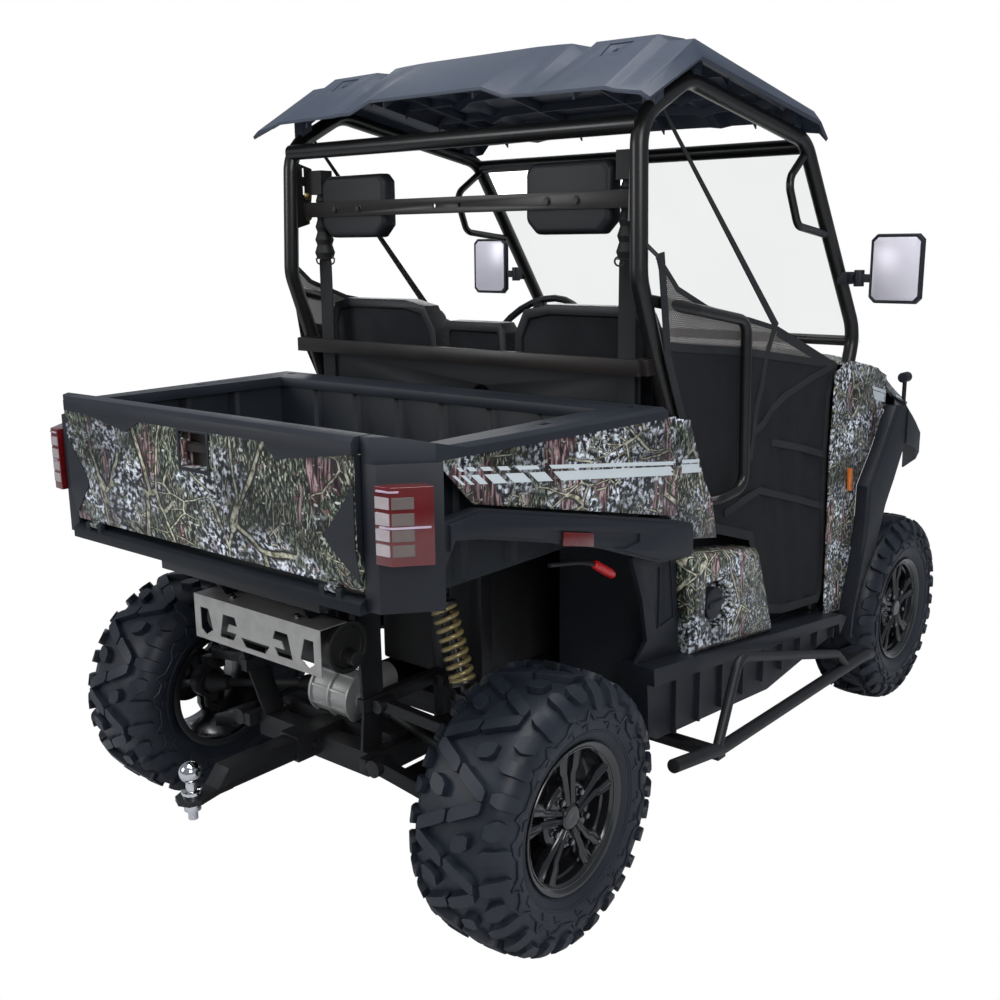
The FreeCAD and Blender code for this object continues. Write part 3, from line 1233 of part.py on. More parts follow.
def make_front_fenders(line, hood):
    """The fender behind, over and before the wheel, and the lamp stalk on its shoulder."""
    f = FRONT_AXLE
    y = SIDE_Y
    arch = around_wheel(ARCH_LINE)
    trim = side_plate(arch + list(reversed(line)) + [(f - 10, 1004)], y, y + FENDER_WIDTH)
    trim = trim.makeChamfer(FENDER_CHAMFER, rim_edges(trim, y + FENDER_WIDTH, 100))
    sections = []
    for dx, root_y, root_z, lip_z, hem in ((-12, y - 14, 1040, 1000, 120), (95, y - 26, 1000, 945, 90),
                                           (190, y - 42, 985, 895, 75), (270, y - 80, 950, 850, 70),
                                           (345, y - 150, 915, 800, 70)):
        lip_y = root_y + FENDER_WIDTH + 18
        outline = [(root_y, root_z), (lip_y - 10, lip_z + 8), (lip_y, lip_z - 8),
                   (lip_y, lip_z - hem), (lip_y - 5, lip_z - hem), (lip_y - 6, lip_z - 10),
                   (lip_y - 14, lip_z + 2), (root_y, root_z - 6)]
        sections.append([V(f + dx, a, b) for a, b in outline])
    over = loft(*sections)
    stalk = rod(V(f + 140, y - 26, 975), V(f + 140, y - 26, 1070), 7)
    lamp = rod(V(f + 118, y - 26, 1078), V(f + 160, y - 26, 1078), 17)
    whole = fused(trim, over, stalk, lamp).cut(hood)
    save("front_fenders", *both(max(whole.Solids, key=lambda s: s.Volume)))


HOOD_COLUMNS = (0.0, 0.46, 0.70, 0.92, 1.0)
HOOD_SECTIONS = (
    (-388.0, 5.0, (1200, 1198, 1190, 1178, 1165)),
    (-218.0, 5.0, (1190, 1188, 1178, 1150, 1125)),
    (-90.0, 5.0, (1178, 1174, 1163, 1135, 1080)),
    (-10.0, 9.0, (1168, 1164, 1151, 1120, 1036)),
    (180.0, 27.0, (1135, 1130, 1110, 1030, 988)),
    (263.0, 65.0, (1118, 1113, 1098, 1000, 952)),
    (355.0, 165.0, (1094, 1088, 1076, 1004, 960)),
)


def hood_section(dx, inset, heights):
    half = SIDE_Y - inset
    x = FRONT_AXLE + dx
    up = [V(x, half * share, h) for share, h in zip(HOOD_COLUMNS, heights)]
    top = list(reversed(up)) + [V(p.x, -p.y, p.z) for p in up[1:]]
    under = [V(p.x, p.y * 0.99, p.z - HOOD_WALL) for p in reversed(top)]
    return top + under


def make_nose():
    """The hood, the mask with its grille and lamp openings, and the bumper hoop."""
    shell = clear_of_cage(loft(*[hood_section(*row) for row in HOOD_SECTIONS]))
    save("hood", shell)
    front = RAIL_FRONT + MASK_DEPTH
    outline = [(-230, MASK_BOTTOM), (230, MASK_BOTTOM), (330, 600), (400, 760), (480, 860), (480, 940),
               (-480, 940), (-480, 860), (-400, 760), (-330, 600)]
    face = Part.Face(polygon([V(RAIL_FRONT, y, z) for y, z in outline]))
    rim = face.extrude(V(MASK_DEPTH, 0, 0)).cut(face.makeOffset2D(-SKIN).extrude(V(MASK_DEPTH - SKIN, 0, 0)))
    grille = cross_plate([(-190, 580), (190, 580), (250, 700), (210, 860), (-210, 860), (-250, 700)],
                         front - SKIN - 1, front + 1)
    eye = [(262, 800), (392, 824), (450, 880), (440, 916), (262, 890)]
    rim = rim.cut(grille)
    for opening in both(cross_plate(eye, front - SKIN - 1, front + 1)):
        rim = rim.cut(opening)
    bars = []
    for z in range(612, 860, 40):
        bars.append(box(front - 24, front - SKIN, -246, 246, z, z + 9))
    for y in (-120, 0, 120):
        bars.append(box(front - 30, front - 12, y - 4, y + 4, 570, 866))
    bars.append(box(RAIL_FRONT, front - SKIN, -260, 260, 864, 870))
    save("front_mask", fused(rim, *bars))
    lens = [(y, z) for y, z in eye]
    lamp = Part.Face(polygon([V(front - 30, y, z) for y, z in lens])).makeOffset2D(-SEAT_GAP)
    save("headlamps", *both(lamp.extrude(V(36, 0, 0))))
    x = NOSE_END - BUMPER_TUBE
    hoop = tube([V(RAIL_FRONT, RAIL_Y, 330), V(x, RAIL_Y, 330), V(x, RAIL_Y + 80, 560),
                 V(x, RAIL_Y + 40, 760), V(x, 0, 760)], BUMPER_TUBE, 50)
    bar = rod(V(x, -RAIL_Y - 60, 540), V(x, RAIL_Y + 60, 540), 14)
    save("front_bumper", fused(*(both(hoop) + [bar])))
    return shell


def rocker_top(x):
    return 545.0 - (x - 350.0) * 145.0 / (FRONT_AXLE - 775.0)


def make_lower_sides():
    f = FRONT_AXLE
    nose = around_wheel(((80.3, 70.5), (87.3, 115.5)))
    outline = [(350, 545), (f - 425, 400)] + nose + [(987, 290), (400, 345), (363, 372)]
    y = FLOOR_HALF_WIDTH + 2
    step_y = y + 78
    face = Part.Face(polygon([V(x, y, z) for x, z in outline]))
    lower = [(352, 500), (f - 440, 372), (f - 425, 320), (987, 270), (400, 325), (340, 372)]
    block = face.extrude(V(0, 98, 0)).cut(side_plate(lower, step_y, step_y + 30))
    core = face.makeOffset2D(-SKIN)
    block = block.cut(core.extrude(V(0, 73, 0)))
    ribs = []
    for k in range(9):
        x = 470 + k * (f - 460 - 470) / 8.0
        rib = box(x - 4, x + 4, step_y, step_y + 12, 332, rocker_top(x) - 40)
        ribs.append(rib.common(face.extrude(V(0, 98, 0))))
    post = cage_tube(1.0)
    save("rockers", *both(fused(block, *ribs).cut(post)))
    make_quarters()
    make_steps()


def make_quarters():
    """The cab's rear corner panels, the dark wheel well behind them and the camouflaged seat sides."""
    y = SIDE_Y
    sill = FLOOR_HALF_WIDTH + 4
    upper = side_plate([(470, 1126), (545, 1113), (621, 954), (665, 895), (693, 792), (520, 822), (470, 885)],
                       y - 15, y)
    save("quarter_panels", *both(upper.cut(hoop_tube(1.0))))
    outer = y - LINER_INSET
    inner = outer - LINER_THICKNESS
    skin = side_plate([(327, 813), (470, 870), (518, 812), (522, 788), (549, rocker_top(549)),
                       (351, rocker_top(351)), (400, 590), (374, 705)], inner, outer)
    skin = skin.cut(side_plate([(400, 760), (500, 772), (520, 620), (440, 610)], outer - 5, outer + 1))
    edge = FLOOR_HALF_WIDTH + 1
    sill_z = rocker_top(452) + 1
    well = cross_plate([(335, FLOOR_TOP), (edge, FLOOR_TOP), (edge, sill_z), (outer, sill_z), (outer, 850),
                        (335, 850)], 452, 456)
    save("wheel_liners", *both(fused(skin, well)))
    rest = 0.3
    corners = [(526, 786), (895, 722), (1003, rocker_top(1003) + rest), (556, rocker_top(556) + rest)]
    outer = side_plate(corners, sill, SEAT_SIDE_Y)
    outer = outer.makeChamfer(16, rim_edges(outer, SEAT_SIDE_Y, 0))
    face = Part.Face(polygon([V(x, sill - 1, z) for x, z in corners]))
    hollow = face.makeOffset2D(-SKIN).extrude(V(0, SEAT_SIDE_Y - sill - SKIN + 1, 0))
    shell = outer.cut(hollow.makeChamfer(16, rim_edges(hollow, SEAT_SIDE_Y - SKIN, 0)))
    bowl = [(600, 700), (690, 690), (742, 620), (720, 566), (640, 556), (596, 610)]
    cup = side_plate(bowl, SEAT_SIDE_Y - 34, SEAT_SIDE_Y)
    well_face = Part.Face(polygon([V(x, SEAT_SIDE_Y - 30, z) for x, z in bowl])).makeOffset2D(-4)
    shell = clear_of_cage(fused(shell, cup).cut(well_face.extrude(V(0, 40, 0))))
    save("seat_sides", *both(max(shell.Solids, key=lambda s: s.Volume)))
    cap_y = SEAT_SIDE_Y - 30 + rest
    cap = rod(V(664, cap_y, 626), V(664, cap_y + 22, 626), FUEL_CAP_RADIUS)
    grip = box(664 - FUEL_CAP_RADIUS + 6, 664 + FUEL_CAP_RADIUS - 6, cap_y + 20, cap_y + 30, 619, 633)
    save("fuel_cap", mirrored(fused(cap, grip)))


def make_steps():
    """The side step: a main rail, a guard tube over it and arms to the sill."""
    y = STEP_Y
    f = FRONT_AXLE
    rail = tube([V(325, y, 330), V(556, y, 293), V(f - 420, y, 280), V(f - 365, y, 272)], 17, 60)
    guard = tube([V(534, y, 300), V(632, y, 512), V(f - 624, y, 345), V(f - 550, y, 286)], 13, 40)
    arms = []
    root = FLOOR_HALF_WIDTH - 50
    for x in (OUTRIGGER_STATIONS[0], OUTRIGGER_STATIONS[2]):
        arms.append(box(x - 18, x + 18, root, y, 262, 286))
        arms.append(box(x - 18, x + 18, root, root + 40, 262, RAIL_BOTTOM + RAIL_HEIGHT))
    save("side_steps", *both(fused(rail, guard, *arms)))


def make_power():
    save("engine", box(290, 720, -180, 160, FLOOR_TOP, 720))
    barrel = muffler_barrel()
    z = MUFFLER_Z - 20
    outlet = rod(V(MUFFLER_X, MUFFLER_RIGHT - 26, z), V(MUFFLER_X, MUFFLER_RIGHT + 12, z), 17)
    save("muffler", fused(barrel, outlet))
    back = MUFFLER_X - MUFFLER_RADIUS - 29
    top = MUFFLER_Z + MUFFLER_RADIUS + 5
    left, right = MUFFLER_LEFT + 6, MUFFLER_RIGHT - 8
    sheet = box(back - 2, back, right, left, 640, top + 2)
    for outline in shield_windows(right, left, 650, 716):
        sheet = sheet.cut(cross_plate(outline, back - 3, back + 1))
    shield = fused(sheet, box(back - 2, MUFFLER_X - 10, right, left, top, top + 2))
    save("heat_shield", shield.cut(barrel).cut(fused(*muffler_straps())))


def shield_windows(y0, y1, z0, z1):
    """Angular windows: tall ones at the ends, bent ones within and a flat one in the middle."""
    middle = (y0 + y1) / 2.0
    reach = (y1 - y0) / 2.0
    windows = [[(middle - 34, z0 + 2), (middle + 34, z0 + 2), (middle + 50, z0 + 22), (middle - 50, z0 + 22)]]
    for side in (1, -1):
        tall = [(reach - 22, z1), (reach - 52, z1), (reach - 66, z0 + 18), (reach - 40, z0 + 2),
                (reach - 22, z0 + 14)]
        bent = [(70, z1 - 2), (112, z1 - 2), (126, z0 + 8), (78, z0 + 8), (66, z0 + 26), (100, z0 + 26),
                (92, z1 - 22), (62, z1 - 22)]
        for outline in (tall, bent):
            windows.append([(middle + side * y, z) for y, z in outline])
    return windows


def steering_axis():
    lean = math.radians(COLUMN_TILT)
    return V(-math.cos(lean), 0, math.sin(lean))


def make_steering():
    x = FRONT_AXLE - TIE_ROD_BACK
    z = AXLE_Z + TIE_ROD_RISE
    reach = KINGPIN_Y - 25
    pieces = []
    for side in (1, -1):
        pieces.append(rod(V(x, side * reach, z - 8), V(x, side * reach, z + 10), 12))
    save("tie_rods", fused(rod(V(x, -reach, z), V(x, reach, z), TIE_ROD_RADIUS), *pieces))
    radius = STEERING_WHEEL_RADIUS
    grip = [(-13, radius), (-9, radius - 9), (0, radius - 13), (9, radius - 9), (13, radius), (9, radius + 9),
            (0, radius + 13), (-9, radius + 9)]
    pieces = [disc(45, 12, 0, -22, 12, 0)]
    for turn in (0, 120, 240):
        bar = box(-16, 16, -6, 6, 30, radius - 2)
        bar = bar.cut(box(-7, 7, -8, 8, 66, radius - 30))
        bar.rotate(V(0, 0, 0), V(0, 1, 0), 180 + turn)
        pieces.append(bar)
    whole = fused(ring(grip, 24, 0, 0, 0), *pieces)
    whole.Placement = FreeCAD.Placement(STEERING_CENTRE, FreeCAD.Rotation(V(0, 1, 0), steering_axis()))
    save("steering_wheel", whole)


make_wheels()
make_suspension()
make_frame()
make_hitch()
make_cage()
make_hoops()
make_headrests()
make_roof()
make_windscreen()
make_mirrors()
make_belts()
make_nets()
make_bed()
make_floor()
make_seats()
make_panels()
make_lower_sides()
make_power()
make_steering()
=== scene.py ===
from math import cos, hypot, pi, radians, sin
import bmesh
import bpy
from mathutils import Matrix, Vector
from mathutils.bvhtree import BVHTree


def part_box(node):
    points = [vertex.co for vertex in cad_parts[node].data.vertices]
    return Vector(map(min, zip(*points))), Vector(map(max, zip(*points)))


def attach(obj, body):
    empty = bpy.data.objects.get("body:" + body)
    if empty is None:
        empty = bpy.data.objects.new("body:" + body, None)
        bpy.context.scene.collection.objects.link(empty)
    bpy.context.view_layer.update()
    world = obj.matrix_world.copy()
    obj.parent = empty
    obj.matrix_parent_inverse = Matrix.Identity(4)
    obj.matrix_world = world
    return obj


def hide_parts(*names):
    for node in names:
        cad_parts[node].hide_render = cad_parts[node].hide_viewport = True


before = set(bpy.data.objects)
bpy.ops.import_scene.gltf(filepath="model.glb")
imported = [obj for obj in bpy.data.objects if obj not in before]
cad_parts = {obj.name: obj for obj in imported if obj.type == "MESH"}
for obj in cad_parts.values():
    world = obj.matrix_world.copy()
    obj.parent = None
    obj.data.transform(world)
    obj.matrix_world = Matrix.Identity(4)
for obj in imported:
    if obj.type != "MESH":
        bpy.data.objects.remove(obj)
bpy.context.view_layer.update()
rear_low, rear_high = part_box("tyre_rear_left")
rear_axle_x = (rear_low.x + rear_high.x) / 2
both_sides = ((1, "left"), (-1, "right"))
forward = Vector((1, 0, 0))


def at(x, y, z):
    """A place from its distance ahead of the rear axle, to the left and above the ground."""
    return Vector((rear_axle_x + x, y, z))


def add_object(name, data):
    obj = bpy.data.objects.new(name, data)
    bpy.context.scene.collection.objects.link(obj)
    return obj


def feed(tree, node, sources):
    """Sets a node's inputs to values, or joins them to other nodes' outputs."""
    for label, source in sources.items():
        if isinstance(source, bpy.types.NodeSocket):
            tree.links.new(source, node.inputs[label])
        else:
            node.inputs[label].default_value = source


def add_node(tree, kind, sources=None, **settings):
    node = tree.nodes.new(kind)
    for name, value in settings.items():
        setattr(node, name, value)
    feed(tree, node, sources or {})
    return node


def open_group(name, kind, inputs, outputs):
    """A node group with named sockets: its tree, its given values and its result node."""
    tree = bpy.data.node_groups.new(name, kind)
    for way, sockets in (("INPUT", inputs), ("OUTPUT", outputs)):
        for label, sort in sockets:
            tree.interface.new_socket(name=label, in_out=way, socket_type="NodeSocket" + sort)
    return tree, tree.nodes.new("NodeGroupInput").outputs, tree.nodes.new("NodeGroupOutput")


def combine(tree, operation, *sources):
    return add_node(tree, "ShaderNodeMath", dict(enumerate(sources)), operation=operation).outputs[0]


def mask(tree, value, low, high):
    """A share that goes from 0 to 1 between two values."""
    spread = add_node(tree, "ShaderNodeMapRange", {"Value": value, "From Min": low, "From Max": high})
    return spread.outputs[0]


def over(tree, below, above, share, blend="MIX"):
    mixed = add_node(tree, "ShaderNodeMix", {"Factor": share, "A": below, "B": above}, data_type="RGBA",
                     blend_type=blend)
    return mixed.outputs["Result"]


# The studio: a pale floor under a white surround, lit by four soft boxes:
# above, behind on both sides and at the front left. The camera and the
# glass see floor and surround as plain white, without a shadow.
camera_place = Vector((-2.729, -2.052, 1.532))
camera_heading = radians(39.78)
camera_dip = radians(12.61)
camera_roll = radians(-0.53)
camera_lens = 41.38
floor_size = 40.0
world_light = (0.82, 0.89, 1.0, 1)
world_strength = 0.3
floor_grey = (0.55, 0.56, 0.58, 1)


def stand_camera():
    ahead = Vector((cos(camera_dip) * cos(camera_heading),
                    cos(camera_dip) * sin(camera_heading), -sin(camera_dip)))
    level_right = Vector((sin(camera_heading), -cos(camera_heading), 0))
    level_up = level_right.cross(ahead)
    right = level_right * cos(camera_roll) + level_up * sin(camera_roll)
    data = bpy.data.cameras.new("camera")
    data.lens = camera_lens
    data.sensor_width = 36.0
    camera = add_object("camera", data)
    turn = Matrix((right, right.cross(ahead), -ahead)).transposed()
    camera.matrix_world = Matrix.Translation(camera_place) @ turn.to_4x4()
    bpy.context.scene.camera = camera
    bpy.context.scene.view_settings.view_transform = "Standard"


def soft_box(name, place, target, size, power):
    data = bpy.data.lights.new(name, "AREA")
    data.shape = "SQUARE"
    data.size = size
    data.energy = power
    lamp = add_object(name, data)
    lamp.location = place
    lamp.rotation_euler = (Vector(target) - Vector(place)).to_track_quat("-Z", "Y").to_euler()


def white_for_camera(tree, lit, white, output):
    """Shows white to the camera and through glass, and the lit shader to all else."""
    path = tree.nodes.new("ShaderNodeLightPath").outputs
    seen = combine(tree, "MAXIMUM", path["Is Camera Ray"], path["Is Transmission Ray"])
    mix = add_node(tree, "ShaderNodeMixShader", {0: seen, 1: lit.outputs[0], 2: white.outputs[0]})
    feed(tree, output, {"Surface": mix.outputs[0]})


def light_world():
    world = bpy.data.worlds.new("surround")
    bpy.context.scene.world = world
    world.use_nodes = True
    tree = world.node_tree
    lit = tree.nodes["Background"]
    feed(tree, lit, {"Color": world_light, "Strength": world_strength})
    white = add_node(tree, "ShaderNodeBackground", {"Color": (1, 1, 1, 1), "Strength": 1.0})
    white_for_camera(tree, lit, white, tree.nodes["World Output"])


def lay_floor():
    half = floor_size / 2
    mesh = bpy.data.meshes.new("studio_floor")
    mesh.from_pydata([(-half, -half, 0), (half, -half, 0), (half, half, 0), (-half, half, 0)], [],
                     [(0, 1, 2, 3)])
    paint = bpy.data.materials.new("studio_floor")
    paint.use_nodes = True
    tree = paint.node_tree
    matt = tree.nodes["Principled BSDF"]
    feed(tree, matt, {"Base Color": floor_grey, "Roughness": 0.9, "Specular IOR Level": 0.0})
    glow = add_node(tree, "ShaderNodeEmission", {"Strength": 1.0})
    white_for_camera(tree, matt, glow, tree.nodes["Material Output"])
    mesh.materials.append(paint)
    add_object("studio_floor", mesh)


stand_camera()
light_world()
lay_floor()
soft_box("overhead", (-1.0, -0.6, 5.2), (0, 0, 0.8), 4.0, 230)
soft_box("rear_right", (-3.6, -4.6, 3.4), (0, 0, 0.8), 2.4, 120)
soft_box("rear_left", (-4.6, 2.6, 2.4), (0, 0, 0.9), 1.8, 60)
soft_box("front_left", (3.8, 3.6, 3.0), (0, 0, 0.8), 2.6, 60)

# The frame: square steel rails with their cross members, the arms and the
# hitch. It is welded, then powder coated black, which leaves a fine
# orange-peel texture and soft corners.
powder_black = (0.01, 0.01, 0.011)
frame_corner = 0.0025
patch_share = 0.6
coat_roughness = 0.12
weld_reach = 0.00002
flat_angle = 0.6


def surface_group():
    """Uneven colour, gloss and fine relief of a coated or moulded surface."""
    tree, given, result = open_group(
        "surface_texture", "ShaderNodeTree",
        (("Colour", "Color"), ("Tint", "Color"), ("Patch Scale", "Float"), ("Patch Share", "Float"),
         ("Grain Scale", "Float"), ("Roughness", "Float"), ("Roughness Spread", "Float")),
        (("Colour", "Color"), ("Roughness", "Float"), ("Height", "Float")))
    place = tree.nodes.new("ShaderNodeTexCoord").outputs["Object"]
    patches, grain = [add_node(tree, "ShaderNodeTexNoise",
                               {"Detail": detail, "Vector": place, "Scale": given[scale]}).outputs["Fac"]
                      for detail, scale in ((5, "Patch Scale"), (3, "Grain Scale"))]
    share = combine(tree, "MULTIPLY", mask(tree, patches, 0.38, 0.68), given["Patch Share"])
    centred = combine(tree, "SUBTRACT", patches, 0.5)
    gloss = combine(tree, "MULTIPLY_ADD", centred, given["Roughness Spread"], given["Roughness"])
    colour = over(tree, given["Colour"], given["Tint"], share)
    feed(tree, result, {"Colour": colour, "Roughness": gloss, "Height": grain})
    return tree


surface_texture = surface_group()


def feed_shader(material, sources):
    feed(material.node_tree, material.node_tree.nodes["Principled BSDF"], sources)


def finish(name, colour, tint, roughness, spread=0.15, patch=6.0, grain=900.0, relief=0.00006,
           metallic=0.0, specular=0.35, coat=0.0):
    """A coated, cast or moulded finish with its own unevenness and grain."""
    made = bpy.data.materials.new(name)
    made.use_nodes = True
    tree = made.node_tree
    texture = add_node(tree, "ShaderNodeGroup",
                       {"Colour": (*colour, 1), "Tint": (*tint, 1), "Patch Scale": patch,
                        "Patch Share": patch_share, "Grain Scale": grain, "Roughness": roughness,
                        "Roughness Spread": spread}, node_tree=surface_texture).outputs
    bump = add_node(tree, "ShaderNodeBump", {"Distance": relief, "Height": texture["Height"]})
    feed_shader(made, {"Metallic": metallic, "Specular IOR Level": specular, "Coat Weight": coat,
                       "Coat Roughness": coat_roughness, "Base Color": texture["Colour"],
                       "Roughness": texture["Roughness"], "Normal": bump.outputs["Normal"]})
    return made


def shading_tree():
    """Smooth shading up to a given edge angle, on whatever came before it."""
    tree, given, result = open_group("shade_by_angle", "GeometryNodeTree",
                                     (("Geometry", "Geometry"), ("Angle", "Float")),
                                     (("Geometry", "Geometry"),))
    plain = add_node(tree, "GeometryNodeRemoveAttribute",
                     {"Name": "custom_normal", "Geometry": given["Geometry"]})
    smooth = add_node(tree, "GeometryNodeSetShadeSmooth", {"Geometry": plain.outputs["Geometry"]},
                      domain="FACE")
    angle = tree.nodes.new("GeometryNodeInputMeshEdgeAngle").outputs["Unsigned Angle"]
    sharp = add_node(tree, "FunctionNodeCompare", {0: angle, 1: given["Angle"]}, operation="GREATER_THAN")
    edges = add_node(tree, "GeometryNodeSetShadeSmooth",
                     {"Shade Smooth": False, "Geometry": smooth.outputs["Geometry"],
                      "Selection": sharp.outputs[0]}, domain="EDGE")
    feed(tree, result, {"Geometry": edges.outputs["Geometry"]})
    return tree


shade_by_angle = shading_tree()


def shade(obj, degrees=32.0):
    last = obj.modifiers.new("shade", "NODES")
    last.node_group = shade_by_angle
    last[shade_by_angle.interface.items_tree["Angle"].identifier] = radians(degrees)
    return obj


def soften(obj, width, segments, degrees=30.0):
    """Rounds the edges that are sharper than an angle."""
    rounded = obj.modifiers.new("corner", "BEVEL")
    rounded.width = width
    rounded.segments = segments
    rounded.limit_method = "ANGLE"
    rounded.angle_limit = radians(degrees)


def dress(node, material, corner=0.0, segments=2, limit=30.0):
    """Gives a frame piece its finish and the small radius that its corners have."""
    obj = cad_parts[node]
    obj.data.materials.clear()
    obj.data.materials.append(material)
    obj.modifiers.new("join", "WELD").merge_threshold = weld_reach
    if corner > 0:
        flat = obj.modifiers.new("flat", "DECIMATE")
        flat.decimate_type = "DISSOLVE"
        flat.angle_limit = radians(flat_angle)
        soften(obj, corner, segments, limit)
    return shade(obj)


powder_coat = finish("powder_coat", powder_black, (0.018, 0.018, 0.02), 0.42, grain=420, relief=0.0001)
for part in ("main_frame", "suspension_arms", "ball_mount", "side_steps"):
    dress(part, powder_coat, frame_corner)
for part in ("rear_uprights", "front_knuckle_left", "front_knuckle_right"):
    dress(part, powder_coat, 0.003)

# The drive: cast alloy final drives, black rubber boots on the half shafts
# and the engine, all between the frame rails. The castings are left bare,
# with the grainy skin of the sand mould.
cast_alloy = finish("cast_alloy", (0.5, 0.5, 0.48), (0.34, 0.34, 0.33), 0.48, grain=260,
                    relief=0.0004, metallic=0.45, specular=0.5)
boot_rubber = finish("boot_rubber", (0.012, 0.012, 0.012), (0.02, 0.02, 0.02), 0.55, grain=300)
engine_black = finish("engine_black", (0.016, 0.016, 0.017), (0.03, 0.03, 0.031), 0.6, grain=200,
                      relief=0.0004)
dress("final_drives", cast_alloy, 0.003)
dress("drive_shafts", boot_rubber)
dress("engine", engine_black, 0.008, 3)

# The dampers: black bodies with gold coil springs wound round them. Each
# coil is one bar of spring steel between its two seats, with closed ends,
# powder coated in gold. The gold is painted darker than the coat is, as
# painted shade for the fender's shadow that falls over the coils.
spring_seat_low = 0.046
spring_seat_high = 0.038
spring_radius = 0.0255
spring_wire = 0.006
spring_turns = 9.5
spring_turn_steps = 20
spring_end_share = 0.09
wheelbase = 1.86
shock_foot = at(-0.024, 0.432, 0.528)
shock_heads = {0.0: at(-0.024, 0.352, 0.765), wheelbase: at(-0.024, 0.352, 0.742)}
# painted shade: this gold is darkened to stand in for the fender's shadow on the coils
spring_gold = finish("spring_gold", (0.3, 0.24, 0.11), (0.24, 0.19, 0.08), 0.3, metallic=0.25, coat=0.3)
damper_black = finish("damper_black", (0.012, 0.012, 0.013), (0.02, 0.02, 0.02), 0.28, specular=0.5)
dress("shock_absorbers", damper_black, 0.001)


def mesh_from(bm, name):
    mesh = bpy.data.meshes.new(name)
    bm.to_mesh(mesh)
    bm.free()
    return mesh


def new_piece(name, bm, material, body):
    mesh = mesh_from(bm, name)
    mesh.materials.append(material)
    obj = add_object(name, mesh)
    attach(obj, body)
    return obj


def face_out(bm):
    bmesh.ops.recalc_face_normals(bm, faces=bm.faces)


def skin_rows(bm, rows, closed=False):
    """A tube through rows of places, its ends capped or its last row joined to its first."""
    rings = [[bm.verts.new(place) for place in row] for row in rows]
    count = len(rings[0])
    for a, b in zip(rings, rings[1:] + rings[:1] if closed else rings[1:]):
        for k in range(count):
            j = (k + 1) % count
            bm.faces.new((a[k], a[j], b[j], b[k]))
    if not closed:
        bm.faces.new(rings[0][::-1])
        bm.faces.new(rings[-1])


def round_about(centre, radius, share, across, up):
    """The place at a share of a full turn round a centre."""
    turn = 2 * pi * share
    return centre + across * (radius * cos(turn)) + up * (radius * sin(turn))


def bar_along(bm, path, radii, sides=8, closed=False):
    """A round bar along a list of points, with one radius or with one for each point."""
    if isinstance(radii, float):
        radii = [radii] * len(path)
    rows = []
    normal = None
    for i, here in enumerate(path):
        before = path[i - 1] if i or closed else here
        after = path[(i + 1) % len(path)] if i + 1 < len(path) or closed else here
        run = (after - before).normalized()
        if normal is None:
            normal = run.orthogonal().normalized()
        normal = (normal - run * normal.dot(run)).normalized()
        rows.append([round_about(here, radii[i], k / sides, normal, run.cross(normal)) for k in range(sides)])
    skin_rows(bm, rows, closed)


def coil_points(foot, head):
    run = (head - foot).normalized()
    start = foot + run * spring_seat_low
    length = (head - foot).length - spring_seat_low - spring_seat_high
    side = run.orthogonal().normalized()
    other = run.cross(side)
    points = []
    steps = int(spring_turns * spring_turn_steps)
    for i in range(steps + 1):
        rise = min(max((i / steps - spring_end_share) / (1 - 2 * spring_end_share), 0.0), 1.0)
        middle = start + run * (rise * length)
        points.append(round_about(middle, spring_radius, spring_turns * i / steps, side, other))
    return points


def wind_springs():
    bm = bmesh.new()
    for axle, head in shock_heads.items():
        for side in (1, -1):
            foot = Vector((shock_foot.x + axle, side * shock_foot.y, shock_foot.z))
            top = Vector((head.x + axle, side * head.y, head.z))
            bar_along(bm, coil_points(foot, top), spring_wire)
    springs = new_piece("coil_springs", bm, spring_gold, "chassis")
    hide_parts("shock_springs")
    shade(springs, 60)


wind_springs()

# The tyres: chevron lugs over a rounded carcass, with shoulder blocks that
# wrap onto the sidewall and a zigzag rib below them. The rubber is dull and
# blue-black.
tyre_radius = 0.315
lug_depth = 0.018
lug_pitches = 10
lug_pitch = 2 * pi * tyre_radius / lug_pitches
lug_skirt = 0.0025
lug_root = 0.003
lug_row = 0.011
corner_share = 0.7
design_half = 0.128
shoulder_start = 0.085
shoulder_reach = 0.065
shoulder_fall = 0.55
bead_inset = 0.004
rib_outline = ((-0.062, 0.15), (-0.045, 0.166), (0.012, 0.168), (0.034, 0.154), (0.062, 0.148),
               (0.078, 0.16), (0.112, 0.164), (0.128, 0.146))
rib_hook = ((0.02, 0.176), (0.046, 0.174), (0.054, 0.188))
bead_lines = (0.194, 0.2)
bead_line_steps = 90
bead_line_radius = 0.0012
rib_radius = 0.0032
hook_radius = 0.0024
hook_places = (0.0, 0.075)
carcass_steps = 120
lug_corner = 0.0016
rubber_black = finish("tyre_rubber", (0.01, 0.013, 0.02), (0.02, 0.025, 0.037), 0.46, patch=9,
                      grain=380, relief=0.00025, specular=0.4)


def revolve(bm, section, around):
    """A closed ring about the wheel's axis from (across, radius) places."""
    turns = [2 * pi * k / around for k in range(around)]
    skin_rows(bm, [[(r * sin(turn), y, r * cos(turn)) for y, r in section] for turn in turns], closed=True)


def carcass_profile(half):
    """Places (across, radius) from the middle of the tread to the bead."""
    base = tyre_radius - lug_depth
    return [(0, base), (0.3 * half, base - 0.0005), (0.55 * half, base - 0.003), (0.74 * half, base - 0.009),
            (0.87 * half, base - 0.02), (0.95 * half, base - 0.036), (0.99 * half, base - 0.056),
            (half, base - 0.07), (0.985 * half, base - 0.084), (0.95 * half, base - 0.098),
            (0.9 * half, base - 0.11), (0.84 * half, 0.174), (0.8 * half, 0.169)]


def along_profile(profile, distance):
    """The place and outward slope at a distance from the middle, along the profile."""
    walked = 0.0
    for (y0, r0), (y1, r1) in zip(profile, profile[1:]):
        length = hypot(y1 - y0, r1 - r0)
        if walked + length >= distance or (y1, r1) == profile[-1]:
            share = min(max((distance - walked) / length, 0.0), 1.0)
            place = (y0 + (y1 - y0) * share, r0 + (r1 - r0) * share)
            return place, ((r0 - r1) / length, (y1 - y0) / length)
        walked += length


